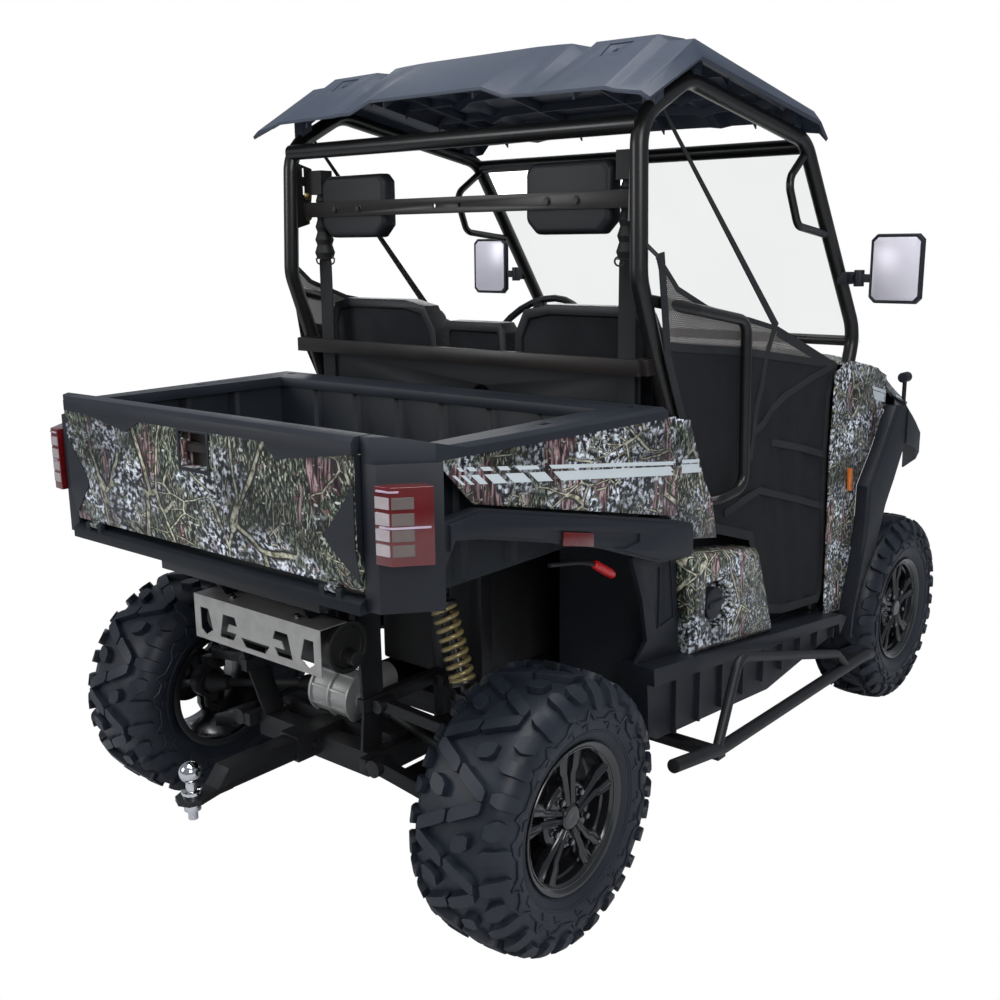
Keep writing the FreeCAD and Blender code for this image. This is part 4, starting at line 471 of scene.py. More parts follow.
def on_tyre(profile, along, across, height):
    side = 1 if across >= 0 else -1
    (y, r), (ny, nr) = along_profile(profile, abs(across))
    turn = along / tyre_radius
    r = r + nr * height
    return Vector((r * sin(turn), side * (y + ny * height), r * cos(turn)))


def add_lug(bm, profile, scale, block, offset, side):
    """One block of rubber with slightly sloped walls, lower where it wraps round the shoulder."""
    rows = []
    for across, rear, front in block:
        high = lug_depth * (1.0 - shoulder_fall * max(0.0, across - shoulder_start) / shoulder_reach)
        section = ((rear - lug_skirt, -lug_root), (rear, high), (front, high), (front + lug_skirt, -lug_root))
        rows.append([on_tyre(profile, offset + along, side * across * scale, height)
                     for along, height in section])
    skin_rows(bm, rows)


def block(start, end, middle, slope, width, cut):
    """A block's stations (across, rear edge, front edge), its corners cut off."""
    length = end - start - 2 * cut
    inner_steps = max(1, round(length / lug_row))
    stations = [start, start + cut]
    stations += [start + cut + length * i / inner_steps for i in range(1, inner_steps + 1)]
    stations.append(end)
    made = []
    for across in stations:
        half = width / 2 - (corner_share * cut if across in (start, end) else 0.0)
        centre = middle + slope * (across - start)
        made.append((across, centre - half, centre + half))
    return made


def tread_blocks():
    """One pitch of one side: two half bars, a small block between them and three shoulder blocks."""
    return [block(0.003, 0.072, 0.0, -0.55, 0.03, 0.007),
            block(0.003, 0.072, lug_pitch / 2, 0.55, 0.03, 0.007),
            block(0.022, 0.06, 0.046, 0.35, 0.036, 0.01),
            block(0.087, 0.146, -0.036, 0.0, 0.034, 0.011),
            block(0.08, 0.143, 0.034, 0.1, 0.031, 0.011),
            block(0.088, 0.124, 0.092, 0.28, 0.044, 0.013)]


def sidewall_lines(bm, profile, scale, side, shift):
    """The raised zigzag outline beside the shoulder blocks, the hooks below it and the bead's fine lines."""
    points = [on_tyre(profile, k * lug_pitch + along + shift, side * across * scale, 0.0016)
              for k in range(lug_pitches) for along, across in rib_outline]
    bar_along(bm, points, rib_radius, 6, closed=True)
    for k in range(lug_pitches):
        for spot in hook_places:
            marks = [on_tyre(profile, k * lug_pitch + spot + along + shift, side * across * scale, 0.001)
                     for along, across in rib_hook]
            bar_along(bm, marks, hook_radius, 6)
    for across in bead_lines:
        ring = [on_tyre(profile, 2 * pi * tyre_radius * k / bead_line_steps, side * across * scale, 0.0)
                for k in range(bead_line_steps)]
        bar_along(bm, ring, bead_line_radius, 6, closed=True)


def build_tyre(where, half, centre):
    scale = half / design_half
    profile = carcass_profile(half - bead_inset)
    inside = [(0.78 * half, 0.158), (0.6 * half, 0.19), (-0.6 * half, 0.19), (-0.78 * half, 0.158)]
    bm = bmesh.new()
    revolve(bm, [(-y, r) for y, r in reversed(profile[1:])] + profile + inside, carcass_steps)
    for side in (1, -1):
        shift = 0.0 if side > 0 else lug_pitch / 2
        for k in range(lug_pitches):
            for shape in tread_blocks():
                add_lug(bm, profile, scale, shape, k * lug_pitch + shift, side)
        sidewall_lines(bm, profile, scale, side, shift)
    face_out(bm)
    bmesh.ops.translate(bm, verts=bm.verts, vec=centre)
    tyre = new_piece("tire_" + where, bm, rubber_black, "wheel_" + where)
    soften(tyre, lug_corner, 1, 38)
    shade(tyre, 28)
    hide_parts("tyre_" + where)


wheel_places = {"rear_left": 1, "rear_right": -1, "front_left": 1, "front_right": -1}


def wheel_centre(where):
    low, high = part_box("tyre_" + where)
    return (low + high) / 2, (high.y - low.y) / 2


for where in wheel_places:
    centre, half_width = wheel_centre(where)
    build_tyre(where, half_width, centre)

# The wheels: cast alloy with five forked spokes, painted gloss black. The
# spokes are grooved along the middle, and the rim behind them is stepped
# as it was turned. Five plated nuts hold each wheel.
gloss_black = finish("gloss_black", (0.008, 0.008, 0.009), (0.012, 0.012, 0.013), 0.2, spread=0.08,
                     grain=150, relief=0.00002, specular=0.5, coat=0.6)
spoke_count = 5
bead_share = 0.8
face_inset = 0.007
hub_recess = 0.012
nut_circle = 0.058
nut_radius = 0.0075
nut_height = 0.016
rim_corner = 0.0009
rim_steps = 96
hub_steps = 48
cap_sides = 10
hex_parts = ((18, 1.25, 1.38, 0.24), (6, 1.0, 1.05, 0.86), (6, 0.78, 0.98, 1.0))
spoke_stations = ((0.03, 0.002, 0.015, 0.000), (0.06, 0.003, 0.018, -0.002), (0.098, 0.005, 0.024, -0.004),
                  (0.112, 0.009, 0.034, -0.002), (0.149, 0.011, 0.041, 0.001))


def spoke_leg(bm, face, turn, side):
    """One leg of a forked spoke: narrow at the hub, kinked and wider at the rim."""
    spin = Matrix.Rotation(turn, 3, "Y")
    rows = []
    for radius, near, far, lift in spoke_stations:
        ridge = (near + far) / 2
        row = [(near, -0.022), (near, -0.004), (ridge - 0.003, 0.0), (ridge, -0.004), (ridge + 0.003, 0.0),
               (far, -0.005), (far, -0.022)]
        rows.append([spin @ Vector((side * dx, face + lift + dy, radius)) for dx, dy in row])
    skin_rows(bm, rows)


def build_rim(where, half, centre, outward):
    bead = bead_share * half
    lip = bead + 0.006
    face = bead - face_inset
    hub_face = face - hub_recess
    hub_back = hub_face - 0.02
    cap_back = hub_face - 0.01
    bm = bmesh.new()
    revolve(bm, [(lip, 0.1695), (lip - 0.002, 0.171), (bead, 0.171), (bead - 0.002, 0.154), (-bead, 0.154),
                 (-bead, 0.17), (-lip, 0.17), (-lip, 0.15), (-bead + 0.012, 0.147), (0.1 * half, 0.14),
                 (0.3 * half, 0.135), (0.34 * half, 0.141), (0.55 * half, 0.142), (0.58 * half, 0.147),
                 (bead - 0.01, 0.148), (lip - 0.004, 0.16)], rim_steps)
    for k in range(spoke_count):
        for side in (1, -1):
            spoke_leg(bm, face, 2 * pi * k / spoke_count, side)
    revolve(bm, [(hub_back, 0.02), (hub_face, 0.02), (hub_face, 0.072), (hub_face - 0.006, 0.079),
                 (hub_back, 0.082)], hub_steps)
    revolve(bm, [(cap_back, 0.0005), (face + 0.001, 0.0005), (face + 0.001, 0.025), (face - 0.003, 0.03),
                 (cap_back, 0.03)], cap_sides)
    face_out(bm)
    if outward < 0:
        bmesh.ops.scale(bm, vec=(1, -1, 1), verts=bm.verts)
        bmesh.ops.reverse_faces(bm, faces=bm.faces)
    bmesh.ops.translate(bm, verts=bm.verts, vec=centre)
    rim = new_piece("wheel_face_" + where, bm, gloss_black, "wheel_" + where)
    soften(rim, rim_corner, 2)
    shade(rim, 26)
    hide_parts("rim_" + where)


def hex_tree():
    """A washer, a head and its chamfer set on points, each turned to the point's own direction."""
    tree, given, result = open_group(
        "hexagon_heads", "GeometryNodeTree",
        (("Geometry", "Geometry"), ("Radius", "Float"), ("Height", "Float"), ("Material", "Material")),
        (("Geometry", "Geometry"),))
    join = tree.nodes.new("GeometryNodeJoinGeometry")
    for sides, top, bottom, deep in hex_parts:
        cone = add_node(tree, "GeometryNodeMeshCone",
                        {"Vertices": sides, "Radius Top": combine(tree, "MULTIPLY", given["Radius"], top),
                         "Radius Bottom": combine(tree, "MULTIPLY", given["Radius"], bottom),
                         "Depth": combine(tree, "MULTIPLY", given["Height"], deep)})
        feed(tree, join, {"Geometry": cone.outputs["Mesh"]})
    direction = add_node(tree, "GeometryNodeInputNamedAttribute", {"Name": "direction"},
                         data_type="FLOAT_VECTOR")
    align = add_node(tree, "FunctionNodeAlignRotationToVector", {"Vector": direction.outputs["Attribute"]})
    spread = add_node(tree, "GeometryNodeInstanceOnPoints",
                      {"Points": given["Geometry"], "Instance": join.outputs["Geometry"],
                       "Rotation": align.outputs["Rotation"]})
    real = add_node(tree, "GeometryNodeRealizeInstances", {"Geometry": spread.outputs["Instances"]})
    paint = add_node(tree, "GeometryNodeSetMaterial",
                     {"Geometry": real.outputs["Geometry"], "Material": given["Material"]})
    feed(tree, result, {"Geometry": paint.outputs["Geometry"]})
    return tree


hexagon_heads = hex_tree()


def baked(obj):
    """The object's evaluated mesh in its place, with no modifier left."""
    graph = bpy.context.evaluated_depsgraph_get()
    mesh = bpy.data.meshes.new_from_object(obj.evaluated_get(graph))
    obj.modifiers.clear()
    obj.data = mesh
    return obj


def set_bolts(name, places, radius, height, material, body):
    """Bolt heads at (place, direction) pairs."""
    mesh = bpy.data.meshes.new(name)
    mesh.from_pydata([p for p, _ in places], [], [])
    directions = mesh.attributes.new("direction", "FLOAT_VECTOR", "POINT")
    for i, (_, direction) in enumerate(places):
        directions.data[i].vector = direction
    obj = add_object(name, mesh)
    heads = obj.modifiers.new("heads", "NODES")
    heads.node_group = hexagon_heads
    for label, value in (("Radius", radius), ("Height", height), ("Material", material)):
        heads[hexagon_heads.interface.items_tree[label].identifier] = value
    bpy.context.view_layer.update()
    baked(obj).data.name = name
    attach(obj, body)
    shade(obj, 25)


nut_plate = finish("nut_plate", (0.3, 0.3, 0.31), (0.16, 0.16, 0.17), 0.25, metallic=1.0)
for where, outward in wheel_places.items():
    centre, half_width = wheel_centre(where)
    build_rim(where, half_width, centre, outward)
    seat = centre + Vector((0, outward * (bead_share * half_width - face_inset - hub_recess), 0))
    spots = [(round_about(seat, nut_circle, (k + 0.5) / spoke_count, Vector((0, 0, 1)), forward),
              Vector((0, outward, 0))) for k in range(spoke_count)]
    set_bolts("wheel_nuts_" + where, spots, nut_radius, nut_height, nut_plate, "wheel_" + where)

# The exhaust: a black painted barrel with a brushed stainless shield over
# its rear side. The hitch carries a plated ball with its nut below.
stainless = finish("brushed_stainless", (0.4, 0.39, 0.37), (0.3, 0.29, 0.27), 0.36, patch=30,
                   grain=500, relief=0.00004, metallic=0.6, specular=0.5)
muffler_black = finish("muffler_black", (0.011, 0.011, 0.011), (0.02, 0.019, 0.018), 0.5, grain=250)
chrome = finish("chrome_plate", (0.72, 0.72, 0.74), (0.62, 0.62, 0.64), 0.08, spread=0.05, patch=20,
                metallic=1.0, specular=0.5, relief=0.00001)
dress("heat_shield", stainless, 0.0006)
dress("muffler", muffler_black, 0.006, 3)
dress("tow_ball", chrome, 0.001)

# The cargo bed and the shell: a moulded tub with a thick rim, side skins, a
# tailgate and the body panels. The black ones are polypropylene with a fine
# leather grain; the patterned ones carry a printed film under clear varnish.
leather_grain = {"patch": 4, "grain": 650, "relief": 0.00015}
bed_plastic = finish("bed_plastic", (0.013, 0.016, 0.022), (0.021, 0.026, 0.035), 0.46, **leather_grain)
tub_plastic = finish("tub_plastic", (0.005, 0.007, 0.01), (0.01, 0.013, 0.018), 0.5,
                     specular=0.25, **leather_grain)
trim_plastic = finish("trim_plastic", (0.01, 0.012, 0.017), (0.017, 0.02, 0.027), 0.44, **leather_grain)
noise, cells = "ShaderNodeTexNoise", "ShaderNodeTexVoronoi"
floor_tones = ((0.4, (0.004, 0.004, 0.004)), (0.49, (0.022, 0.024, 0.016)), (0.56, (0.08, 0.084, 0.056)),
               (0.64, (0.5, 0.5, 0.38)))
litter_tones = ((0.42, (0.005, 0.005, 0.005)), (0.53, (0.04, 0.046, 0.034)), (0.64, (0.27, 0.3, 0.21)))
lichen_tones = ((0.42, (0.005, 0.005, 0.006)), (0.49, (0.06, 0.063, 0.066)), (0.54, (0.33, 0.34, 0.35)),
                (0.6, (0.7, 0.71, 0.71)))
bark_tones = ((0.4, (0.012, 0.007, 0.007)), (0.52, (0.105, 0.052, 0.05)), (0.62, (0.46, 0.31, 0.3)))
leaf_tones = ((0.0, (0.01, 0.014, 0.006)), (0.3, (0.05, 0.075, 0.03)), (0.52, (0.13, 0.15, 0.07)),
              (0.66, (0.17, 0.065, 0.055)), (0.84, (0.5, 0.5, 0.44)))
wood_tones = ((0.35, (0.1, 0.09, 0.05)), (0.6, (0.52, 0.49, 0.35)))
depth_tones = ((0.38, (0.55, 0.57, 0.63)), (0.6, (1.45, 1.5, 1.62)))
branch_shadow = (0.005, 0.005, 0.004, 1)
leaf_kinds = ((36, (1, 1, 2.1), (0.7, 0.3, 0.4), 0.7), (50, (2.2, 1, 1), (0.2, 0.9, 0.1), 0.68),
              (70, (1, 1, 2.0), (2.0, 0.2, 1.1), 0.62))
leaf_size = 0.34
branch_kinds = ((24.0, (1, 2.2, 0.8), (0.4, 0.8, 0.5), 0.03, 10.0),
                (8.0, (1, 1, 2.2), (-0.7, 0.9, 0.2), 0.026, 6.0),
                (4.6, (1.6, 1.6, 0.8), (0.9, 0.5, 0.3), 0.026, 4.0))


def ramp(tree, value, places):
    """The colour for a value, between (value, colour) stops."""
    node = add_node(tree, "ShaderNodeValToRGB", {0: value})
    edge = node.color_ramp.elements
    while len(edge) < len(places):
        edge.new(0.5)
    for item, (place, colour) in zip(edge, places):
        item.position = place
        item.color = (*colour, 1)
    return node.outputs["Color"]


def scatter(tree, vector, kind, scale, stretch=(1, 1, 1), turn=(0, 0, 0), detail=None, **settings):
    """A noise or cell texture on a turned and stretched copy of the coordinates."""
    mapping = add_node(tree, "ShaderNodeMapping",
                       {"Scale": [scale * s for s in stretch], "Rotation": turn, "Vector": vector})
    texture = add_node(tree, kind, {"Vector": mapping.outputs["Vector"], "Scale": 1.0}, **settings)
    if detail is not None:
        texture.inputs["Detail"].default_value = detail
    return texture.outputs


def woodland_group():
    """Bark, lichen, leaves and branches in a made-up layout, from noise and cells only."""
    tree, _, result = open_group("woodland_print", "ShaderNodeTree", (), (("Colour", "Color"),))
    place = tree.nodes.new("ShaderNodeTexCoord").outputs["Object"]
    bend = scatter(tree, place, noise, 8.0)["Color"]
    bent = add_node(tree, "ShaderNodeVectorMath", {0: bend, 1: (0.035, 0.035, 0.035), 2: place},
                    operation="MULTIPLY_ADD").outputs["Vector"]

    def toned(scale, stretch, turn, detail, tones):
        return ramp(tree, scatter(tree, bent, noise, scale, stretch, turn, detail)["Fac"], tones)

    def zone(vector, scale, stretch, detail, low, high):
        return mask(tree, scatter(tree, vector, noise, scale, stretch, detail=detail)["Fac"], low, high)

    colour = toned(1.0, (185, 185, 80), (0.7, 0.5, 0.3), 7, floor_tones)
    litter = toned(1.0, (190, 190, 62), (-0.6, -0.7, 0.2), 6, litter_tones)
    colour = over(tree, colour, litter, zone(place, 9.0, (1, 1, 1), 4, 0.47, 0.5))
    lichen = toned(92.0, (1, 1, 1), (0, 0, 0), 7, lichen_tones)
    colour = over(tree, colour, lichen, zone(bent, 5.2, (1, 1, 1.8), 5, 0.47, 0.54))
    bark = toned(1.0, (140, 140, 15), (0.25, 0.1, 0.0), 5, bark_tones)
    colour = over(tree, colour, bark, zone(bent, 7.0, (1.5, 1.5, 0.6), 4, 0.57, 0.6))
    for index, (scale, stretch, turn, presence) in enumerate(leaf_kinds):
        leaf = scatter(tree, bent, cells, scale, stretch, turn)
        ragged = combine(tree, "MULTIPLY", scatter(tree, place, noise, 180.0)["Fac"], 0.2)
        shape = mask(tree, combine(tree, "ADD", leaf["Distance"], ragged), leaf_size + 0.03, leaf_size)
        split = add_node(tree, "ShaderNodeSeparateColor", {0: leaf["Color"]}).outputs
        there = mask(tree, split[index % 3], presence, presence + 0.01)
        colour = over(tree, colour, ramp(tree, split[(index + 1) % 3], leaf_tones),
                      combine(tree, "MULTIPLY", shape, there))
    for scale, stretch, turn, width, patch in branch_kinds:
        off = scatter(tree, bent, cells, scale, stretch, turn, feature="DISTANCE_TO_EDGE")["Distance"]
        part = mask(tree, scatter(tree, place, noise, patch, (1, 1, 1), turn)["Fac"], 0.53, 0.56)
        shadow = mask(tree, off, width * 2.4, width * 1.2)
        colour = over(tree, colour, branch_shadow, combine(tree, "MULTIPLY", shadow, part))
        wood = ramp(tree, scatter(tree, place, noise, 90.0)["Fac"], wood_tones)
        line = mask(tree, off, width, width * 0.6)
        colour = over(tree, colour, wood, combine(tree, "MULTIPLY", line, part))
    depth = scatter(tree, place, noise, 4.0, (1, 1, 1.6), (0.3, 0.8, 0.1), 3)["Fac"]
    colour = over(tree, colour, ramp(tree, depth, depth_tones), 1.0, "MULTIPLY")
    feed(tree, result, {"Colour": colour})
    return tree


woodland_print = woodland_group()


def printed_film():
    made = finish("woodland_film", (0.05, 0.05, 0.04), (0.06, 0.06, 0.05), 0.36, spread=0.1,
                  grain=500, relief=0.00004, specular=0.3, coat=0.15)
    pattern = add_node(made.node_tree, "ShaderNodeGroup", node_tree=woodland_print)
    feed_shader(made, {"Base Color": pattern.outputs["Colour"]})
    return made


camouflage = printed_film()
dress("bed_tub", tub_plastic, 0.003)
dress("bed_rail", bed_plastic, 0.006, 3)
dress("tailgate", camouflage, 0.0025)
dress("rear_fenders", trim_plastic, 0.005, 3)
for part in ("bed_side_panels", "front_cowls", "hood", "quarter_panels", "seat_sides"):
    dress(part, camouflage, 0.0015)
for part in ("front_fenders", "front_mask", "rockers"):
    dress(part, trim_plastic, 0.004, 3)
for part in ("fuel_cap", "wheel_liners"):
    dress(part, trim_plastic, 0.0015)

# The nose's inside: a black shroud under the hood that closes the gap
# above the mask, and the finned radiator behind the grille.
shroud_x = 2.1
shroud_thick = 0.003
shroud_edge = ((0.0, 1.1135), (0.285, 1.109), (0.43, 1.093), (0.56, 1.003), (0.56, 0.95), (0.47, 0.94),
               (0.44, 0.7), (0.32, 0.65), (0.3, 0.56), (0.0, 0.56))
fin_count = 32
fin_pitch = 0.008
fin_thick = 0.0022
fin_half = 0.24
fin_low = 0.625


def block_between(bm, low, high):
    for v in bmesh.ops.create_cube(bm, size=1.0)["verts"]:
        v.co = Vector([low[i] if v.co[i] < 0 else high[i] for i in range(3)])


def fit_shroud():
    outline = list(shroud_edge) + [(-y, z) for y, z in reversed(shroud_edge[1:-1])]
    bm = bmesh.new()
    skin_rows(bm, [[at(x, y, z) for y, z in outline] for x in (shroud_x, shroud_x + shroud_thick)])
    face_out(bm)
    shade(new_piece("nose_shroud", bm, engine_black, "chassis"))
    bm = bmesh.new()
    for k in range(fin_count):
        z = fin_low + fin_pitch * k
        block_between(bm, at(shroud_x + 0.0025, -fin_half, z), at(shroud_x + 0.011, fin_half, z + fin_thick))
    shade(new_piece("radiator_fins", bm, cast_alloy, "chassis"))


fit_shroud()

# The lamps and reflectors: moulded clear, red and orange lenses. Each tail
# lamp has two columns of raised blocks in its red face, pale and smoked,
# with a bright bar across them and one above.


def lens_material(name, colour):
    return finish(name, colour, tuple(c * 0.8 for c in colour), 0.12, spread=0.05, patch=40,
                  grain=120, relief=0.0003, specular=0.5, coat=0.8)


def skin_of(*nodes):
    """The surface of some frame pieces, for laying film and lamp blocks on."""
    bm = bmesh.new()
    for node in nodes:
        bm.from_mesh(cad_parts[node].data)
    skin = BVHTree.FromBMesh(bm)
    bm.free()
    return skin


def lay_patch(bm, skin, corners, toward, lift, steps, sink=0.0008):
    """A thin field between four corners, laid on the surface that lies in one direction."""
    columns, rows = steps
    found = {}
    for i in range(columns + 1):
        low = corners[0].lerp(corners[1], i / columns)
        high = corners[3].lerp(corners[2], i / columns)
        for j in range(rows + 1):
            hit = skin.ray_cast(low.lerp(high, j / rows), toward)[0]
            if hit is not None:
                found[i, j] = (bm.verts.new(hit - toward * lift), bm.verts.new(hit + toward * sink))
    fields = [(i, j) for i in range(columns) for j in range(rows)
              if all((i + a, j + b) in found for a in (0, 1) for b in (0, 1))]
    for i, j in fields:
        ring = [(i, j), (i + 1, j), (i + 1, j + 1), (i, j + 1)]
        bm.faces.new([found[key][0] for key in ring])
        for k, neighbour in enumerate(((i, j - 1), (i + 1, j), (i, j + 1), (i - 1, j))):
            if neighbour not in fields:
                a, b = found[ring[k]], found[ring[(k + 1) % 4]]
                bm.faces.new((a[0], a[1], b[1], b[0]))
    loose = [v for v in bm.verts if not v.link_faces]
    bmesh.ops.delete(bm, geom=loose, context="VERTS")


lens_red = lens_material("lens_red", (0.12, 0.003, 0.004))
lens_orange = lens_material("lens_orange", (0.72, 0.17, 0.01))
lens_clear = lens_material("lens_clear", (0.55, 0.56, 0.58))
lens_pale = lens_material("lens_pale", (0.46, 0.4, 0.41))
lens_smoke = lens_material("lens_smoke", (0.135, 0.105, 0.095))
lens_edge = lens_material("lens_edge", (0.56, 0.44, 0.56))
dress("tail_lamps", lens_red, 0.004, 3)
dress("reflectors", lens_red, 0.002)
dress("side_markers", lens_orange, 0.002)
dress("headlamps", lens_clear, 0.004, 3)
behind = -0.6
lamp_rows = ((0.967, 0.989), (0.996, 1.018), (1.026, 1.049), (1.057, 1.079))
lamp_columns = (("lamp_blocks_", lens_pale, (0.553, 0.585)), ("lamp_smoke_", lens_smoke, (0.59, 0.616)))
lamp_bars = ((1.0195, 1.0235, 0.548, 0.636), (1.088, 1.0915, 0.548, 0.598))
lamp_block_lift = 0.0022
lamp_bar_lift = 0.003


def lamp_fields(name, fields, side, lift, material):
    """Raised rectangles (low, high, inner, outer) on one tail lamp, seen from behind."""
    bm = bmesh.new()
    skin = skin_of("tail_lamps")
    for low, high, inner, outer in fields:
        outline = ((inner, low), (outer, low), (outer, high), (inner, high))
        corners = [at(behind, side * y, z) for y, z in outline]
        lay_patch(bm, skin, corners, forward, lift, (6, 3))
    face_out(bm)
    shade(new_piece(name, bm, material, "bed"), 40)


for side, word in both_sides:
    for name, material, column in lamp_columns:
        lamp_fields(name + word, [(*row, *column) for row in lamp_rows], side, lamp_block_lift, material)
    lamp_fields("lamp_bars_" + word, lamp_bars, side, lamp_bar_lift, lens_edge)

# The tailgate's details: a black wedge at each end of its face, a black
# liner inside, and the latch opening through the trim, with a dark pan and
# the pull bar in it.
wedge = ((0.5, 0.895), (0.418, 0.975), (0.418, 0.99), (0.5, 1.092))
gate_end = ((-0.408, 0.97), (-0.366, 0.886), (-0.366, 1.148), (-0.408, 1.148))
gate_inside = ((-0.499, 0.886), (0.499, 0.886), (0.499, 1.1485), (-0.499, 1.1485))
gate_reach = 0.6
film_sink = 0.0005
film_lift = 0.0008
wedge_lift = 0.0016
window_low = at(-0.42, -0.054, 1.067)
window_high = at(-0.385, 0.04, 1.145)
latch_blocks = ((at(-0.3815, -0.0535, 1.0675), at(-0.3785, 0.0395, 1.1445)),
                (at(-0.399, -0.05, 1.1), at(-0.393, 0.036, 1.116)),
                (at(-0.394, -0.05, 1.116), at(-0.38, 0.036, 1.12)))
latch_brown = finish("latch_brown", (0.02, 0.017, 0.014), (0.034, 0.029, 0.024), 0.35, patch=18, grain=400)


def open_window():
    """The tailgate's trim with the latch opening cut through its face."""
    bm = bmesh.new()
    bm.from_mesh(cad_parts["gate_trim"].data)
    trim = new_piece("gate_cap", bm, trim_plastic, "tailgate")
    bm = bmesh.new()
    block_between(bm, window_low, window_high)
    cutter = add_object("window_cutter", mesh_from(bm, "window_cutter"))
    cut = trim.modifiers.new("window", "BOOLEAN")
    cut.operation = "DIFFERENCE"
    cut.object = cutter
    bpy.context.view_layer.update()
    baked(trim)
    bpy.data.objects.remove(cutter)
    soften(trim, 0.0015, 2)
    shade(trim)
    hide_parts("gate_trim")


def fill_window():
    bm = bmesh.new()
    for low, high in latch_blocks:
        block_between(bm, low, high)
    face_out(bm)
    shade(new_piece("latch_pan", bm, latch_brown, "tailgate"))


def lay_wedges():
    bm = bmesh.new()
    skin = skin_of("tailgate")
    for side in (1, -1):
        face = [at(behind, side * y, z) for y, z in wedge]
        lay_patch(bm, skin, face, forward, wedge_lift, (6, 12), film_sink)
        end = [at(x, side * gate_reach, z) for x, z in gate_end]
        lay_patch(bm, skin, end, Vector((0, -side, 0)), film_lift, (3, 6), film_sink)
    lay_patch(bm, skin, [at(0.0, y, z) for y, z in gate_inside], -forward, film_lift, (24, 8), film_sink)
    face_out(bm)
    shade(new_piece("gate_wedges", bm, trim_plastic, "tailgate"), 40)


open_window()
fill_window()
lay_wedges()

# The stripes: white film on the bed's sides, the cab corners and the front
# cowls, a thin one above a thick one. Towards the tail they are broken into
# blocks that lean forward at the bottom.
stripe_white = finish("stripe_white", (0.66, 0.72, 0.74), (0.6, 0.67, 0.7), 0.42, patch=12,
                      grain=300, relief=0.00002)
thick_lines = ((1.0697, -0.119), (1.05, -0.122))
thin_lines = ((1.084, -0.124), (1.0758, -0.1245))
thick_runs = ((-0.261, -0.252), (-0.239, -0.228), (-0.213, -0.191), (-0.175, -0.136), (-0.117, -0.065),
              (-0.047, 0.000), (0.026, 0.436))
thin_runs = ((-0.25, -0.238), (-0.224, -0.204), (-0.187, -0.16), (-0.14, -0.11), (-0.088, -0.024),
             (0.013, 0.452))
corner_runs = ((0.512, 0.64),)
cowl_thick = ((1.4345, -0.219), (1.406, -0.218))
cowl_thin = ((1.4555, -0.224), (1.4475, -0.225))
stripe_sets = (("bed_stripes_", ("bed_side_panels",), "bed",
                ((thick_lines, 0.026, thick_runs), (thin_lines, 0.01, thin_runs))),
               ("corner_stripes_", ("quarter_panels",), "chassis",
                ((thick_lines, 0.0, corner_runs), (thin_lines, 0.0, corner_runs))),
               ("cowl_stripes_", ("front_cowls", "hood"), "chassis",
                ((cowl_thick, 0.018, ((1.662, 1.795), (1.905, 2.000))),
                 (cowl_thin, 0.006, ((1.655, 1.79), (1.905, 1.985))))))
stripe_lift = 0.0005
stripe_step = 0.012
beside = 0.9


def lay_stripes(name, nodes, body, runs, side):
    """Film blocks between two sloping lines, each from a rear to a front station."""
    bm = bmesh.new()
    skin = skin_of(*nodes)
    for (top, low), lean, spans in runs:
        for rear, front in spans:
            places = ((rear + lean, low), (front + lean, low), (front, top), (rear, top))
            corners = [at(x, side * beside, line[0] + line[1] * x) for x, line in places]
            steps = (max(2, round((front - rear) / stripe_step)), 2)
            lay_patch(bm, skin, corners, Vector((0, -side, 0)), stripe_lift, steps)
    face_out(bm)
    new_piece(name, bm, stripe_white, body)


for side, word in both_sides:
    for name, nodes, body, runs in stripe_sets:
        lay_stripes(name + word, nodes, body, runs, side)

# The cab: a moulded floor, the seat base, the dashboard and the seats. The
# seats are foam pads under black vinyl with a grained face.
cab_plastic = finish("cab_plastic", (0.01, 0.011, 0.013), (0.017, 0.018, 0.021), 0.5, patch=4,
                     grain=600, relief=0.00015)
vinyl = finish("seat_vinyl", (0.009, 0.01, 0.012), (0.017, 0.018, 0.021), 0.42, patch=10, grain=420,
               relief=0.0003)
for part in ("floor_pan", "seat_base", "dashboard"):
    dress(part, cab_plastic, 0.003)
dress("seat_backs", vinyl, 0.012, 4)
pad_corner = 0.016
pad_voxel = 0.006
pad_slack = 0.004
pad_swell = 0.012
foam_frames = 20


def loose_shells(node):
    """The separate closed shells of a frame piece as (centre, half size, mesh), from rear to front."""
    whole = bmesh.new()
    whole.from_mesh(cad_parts[node].data)
    bmesh.ops.remove_doubles(whole, verts=whole.verts, dist=weld_reach)
    seen = set()
    shells = []
    for first in whole.faces:
        if first in seen:
            continue
        seen.add(first)
        group, waiting = [], [first]
        while waiting:
            face = waiting.pop()
            group.append(face)
            for edge in face.edges:
                for other in edge.link_faces:
                    if other not in seen:
                        seen.add(other)
                        waiting.append(other)
        part = bmesh.new()
        copies = {v: part.verts.new(v.co) for v in {v for face in group for v in face.verts}}
        for face in group:
            part.faces.new([copies[v] for v in face.verts])
        low = Vector([min(v.co[i] for v in part.verts) for i in range(3)])
        high = Vector([max(v.co[i] for v in part.verts) for i in range(3)])
        shells.append(((low + high) / 2, (high - low) / 2, part))
    whole.free()
    return sorted(shells, key=lambda shell: (round(shell[0].x, 2), shell[0].y))


def foam_pads(node):
    """Pads a little smaller than the solids, remeshed finely enough for the cover to bulge."""
    pads = []
    for index, (centre, half, bm) in enumerate(loose_shells(node)):
        for v in bm.verts:
            v.co = centre + Vector([(v.co[i] - centre[i]) * (1 - pad_slack / half[i]) for i in range(3)])
        pad = new_piece("seat_pad_%d" % (index + 1), bm, vinyl, "chassis")
        soften(pad, pad_corner, 3)
        remesh = pad.modifiers.new("remesh", "REMESH")
        remesh.mode = "VOXEL"
        remesh.voxel_size = pad_voxel
        bpy.context.view_layer.update()
        pads.append(baked(pad))
    return pads


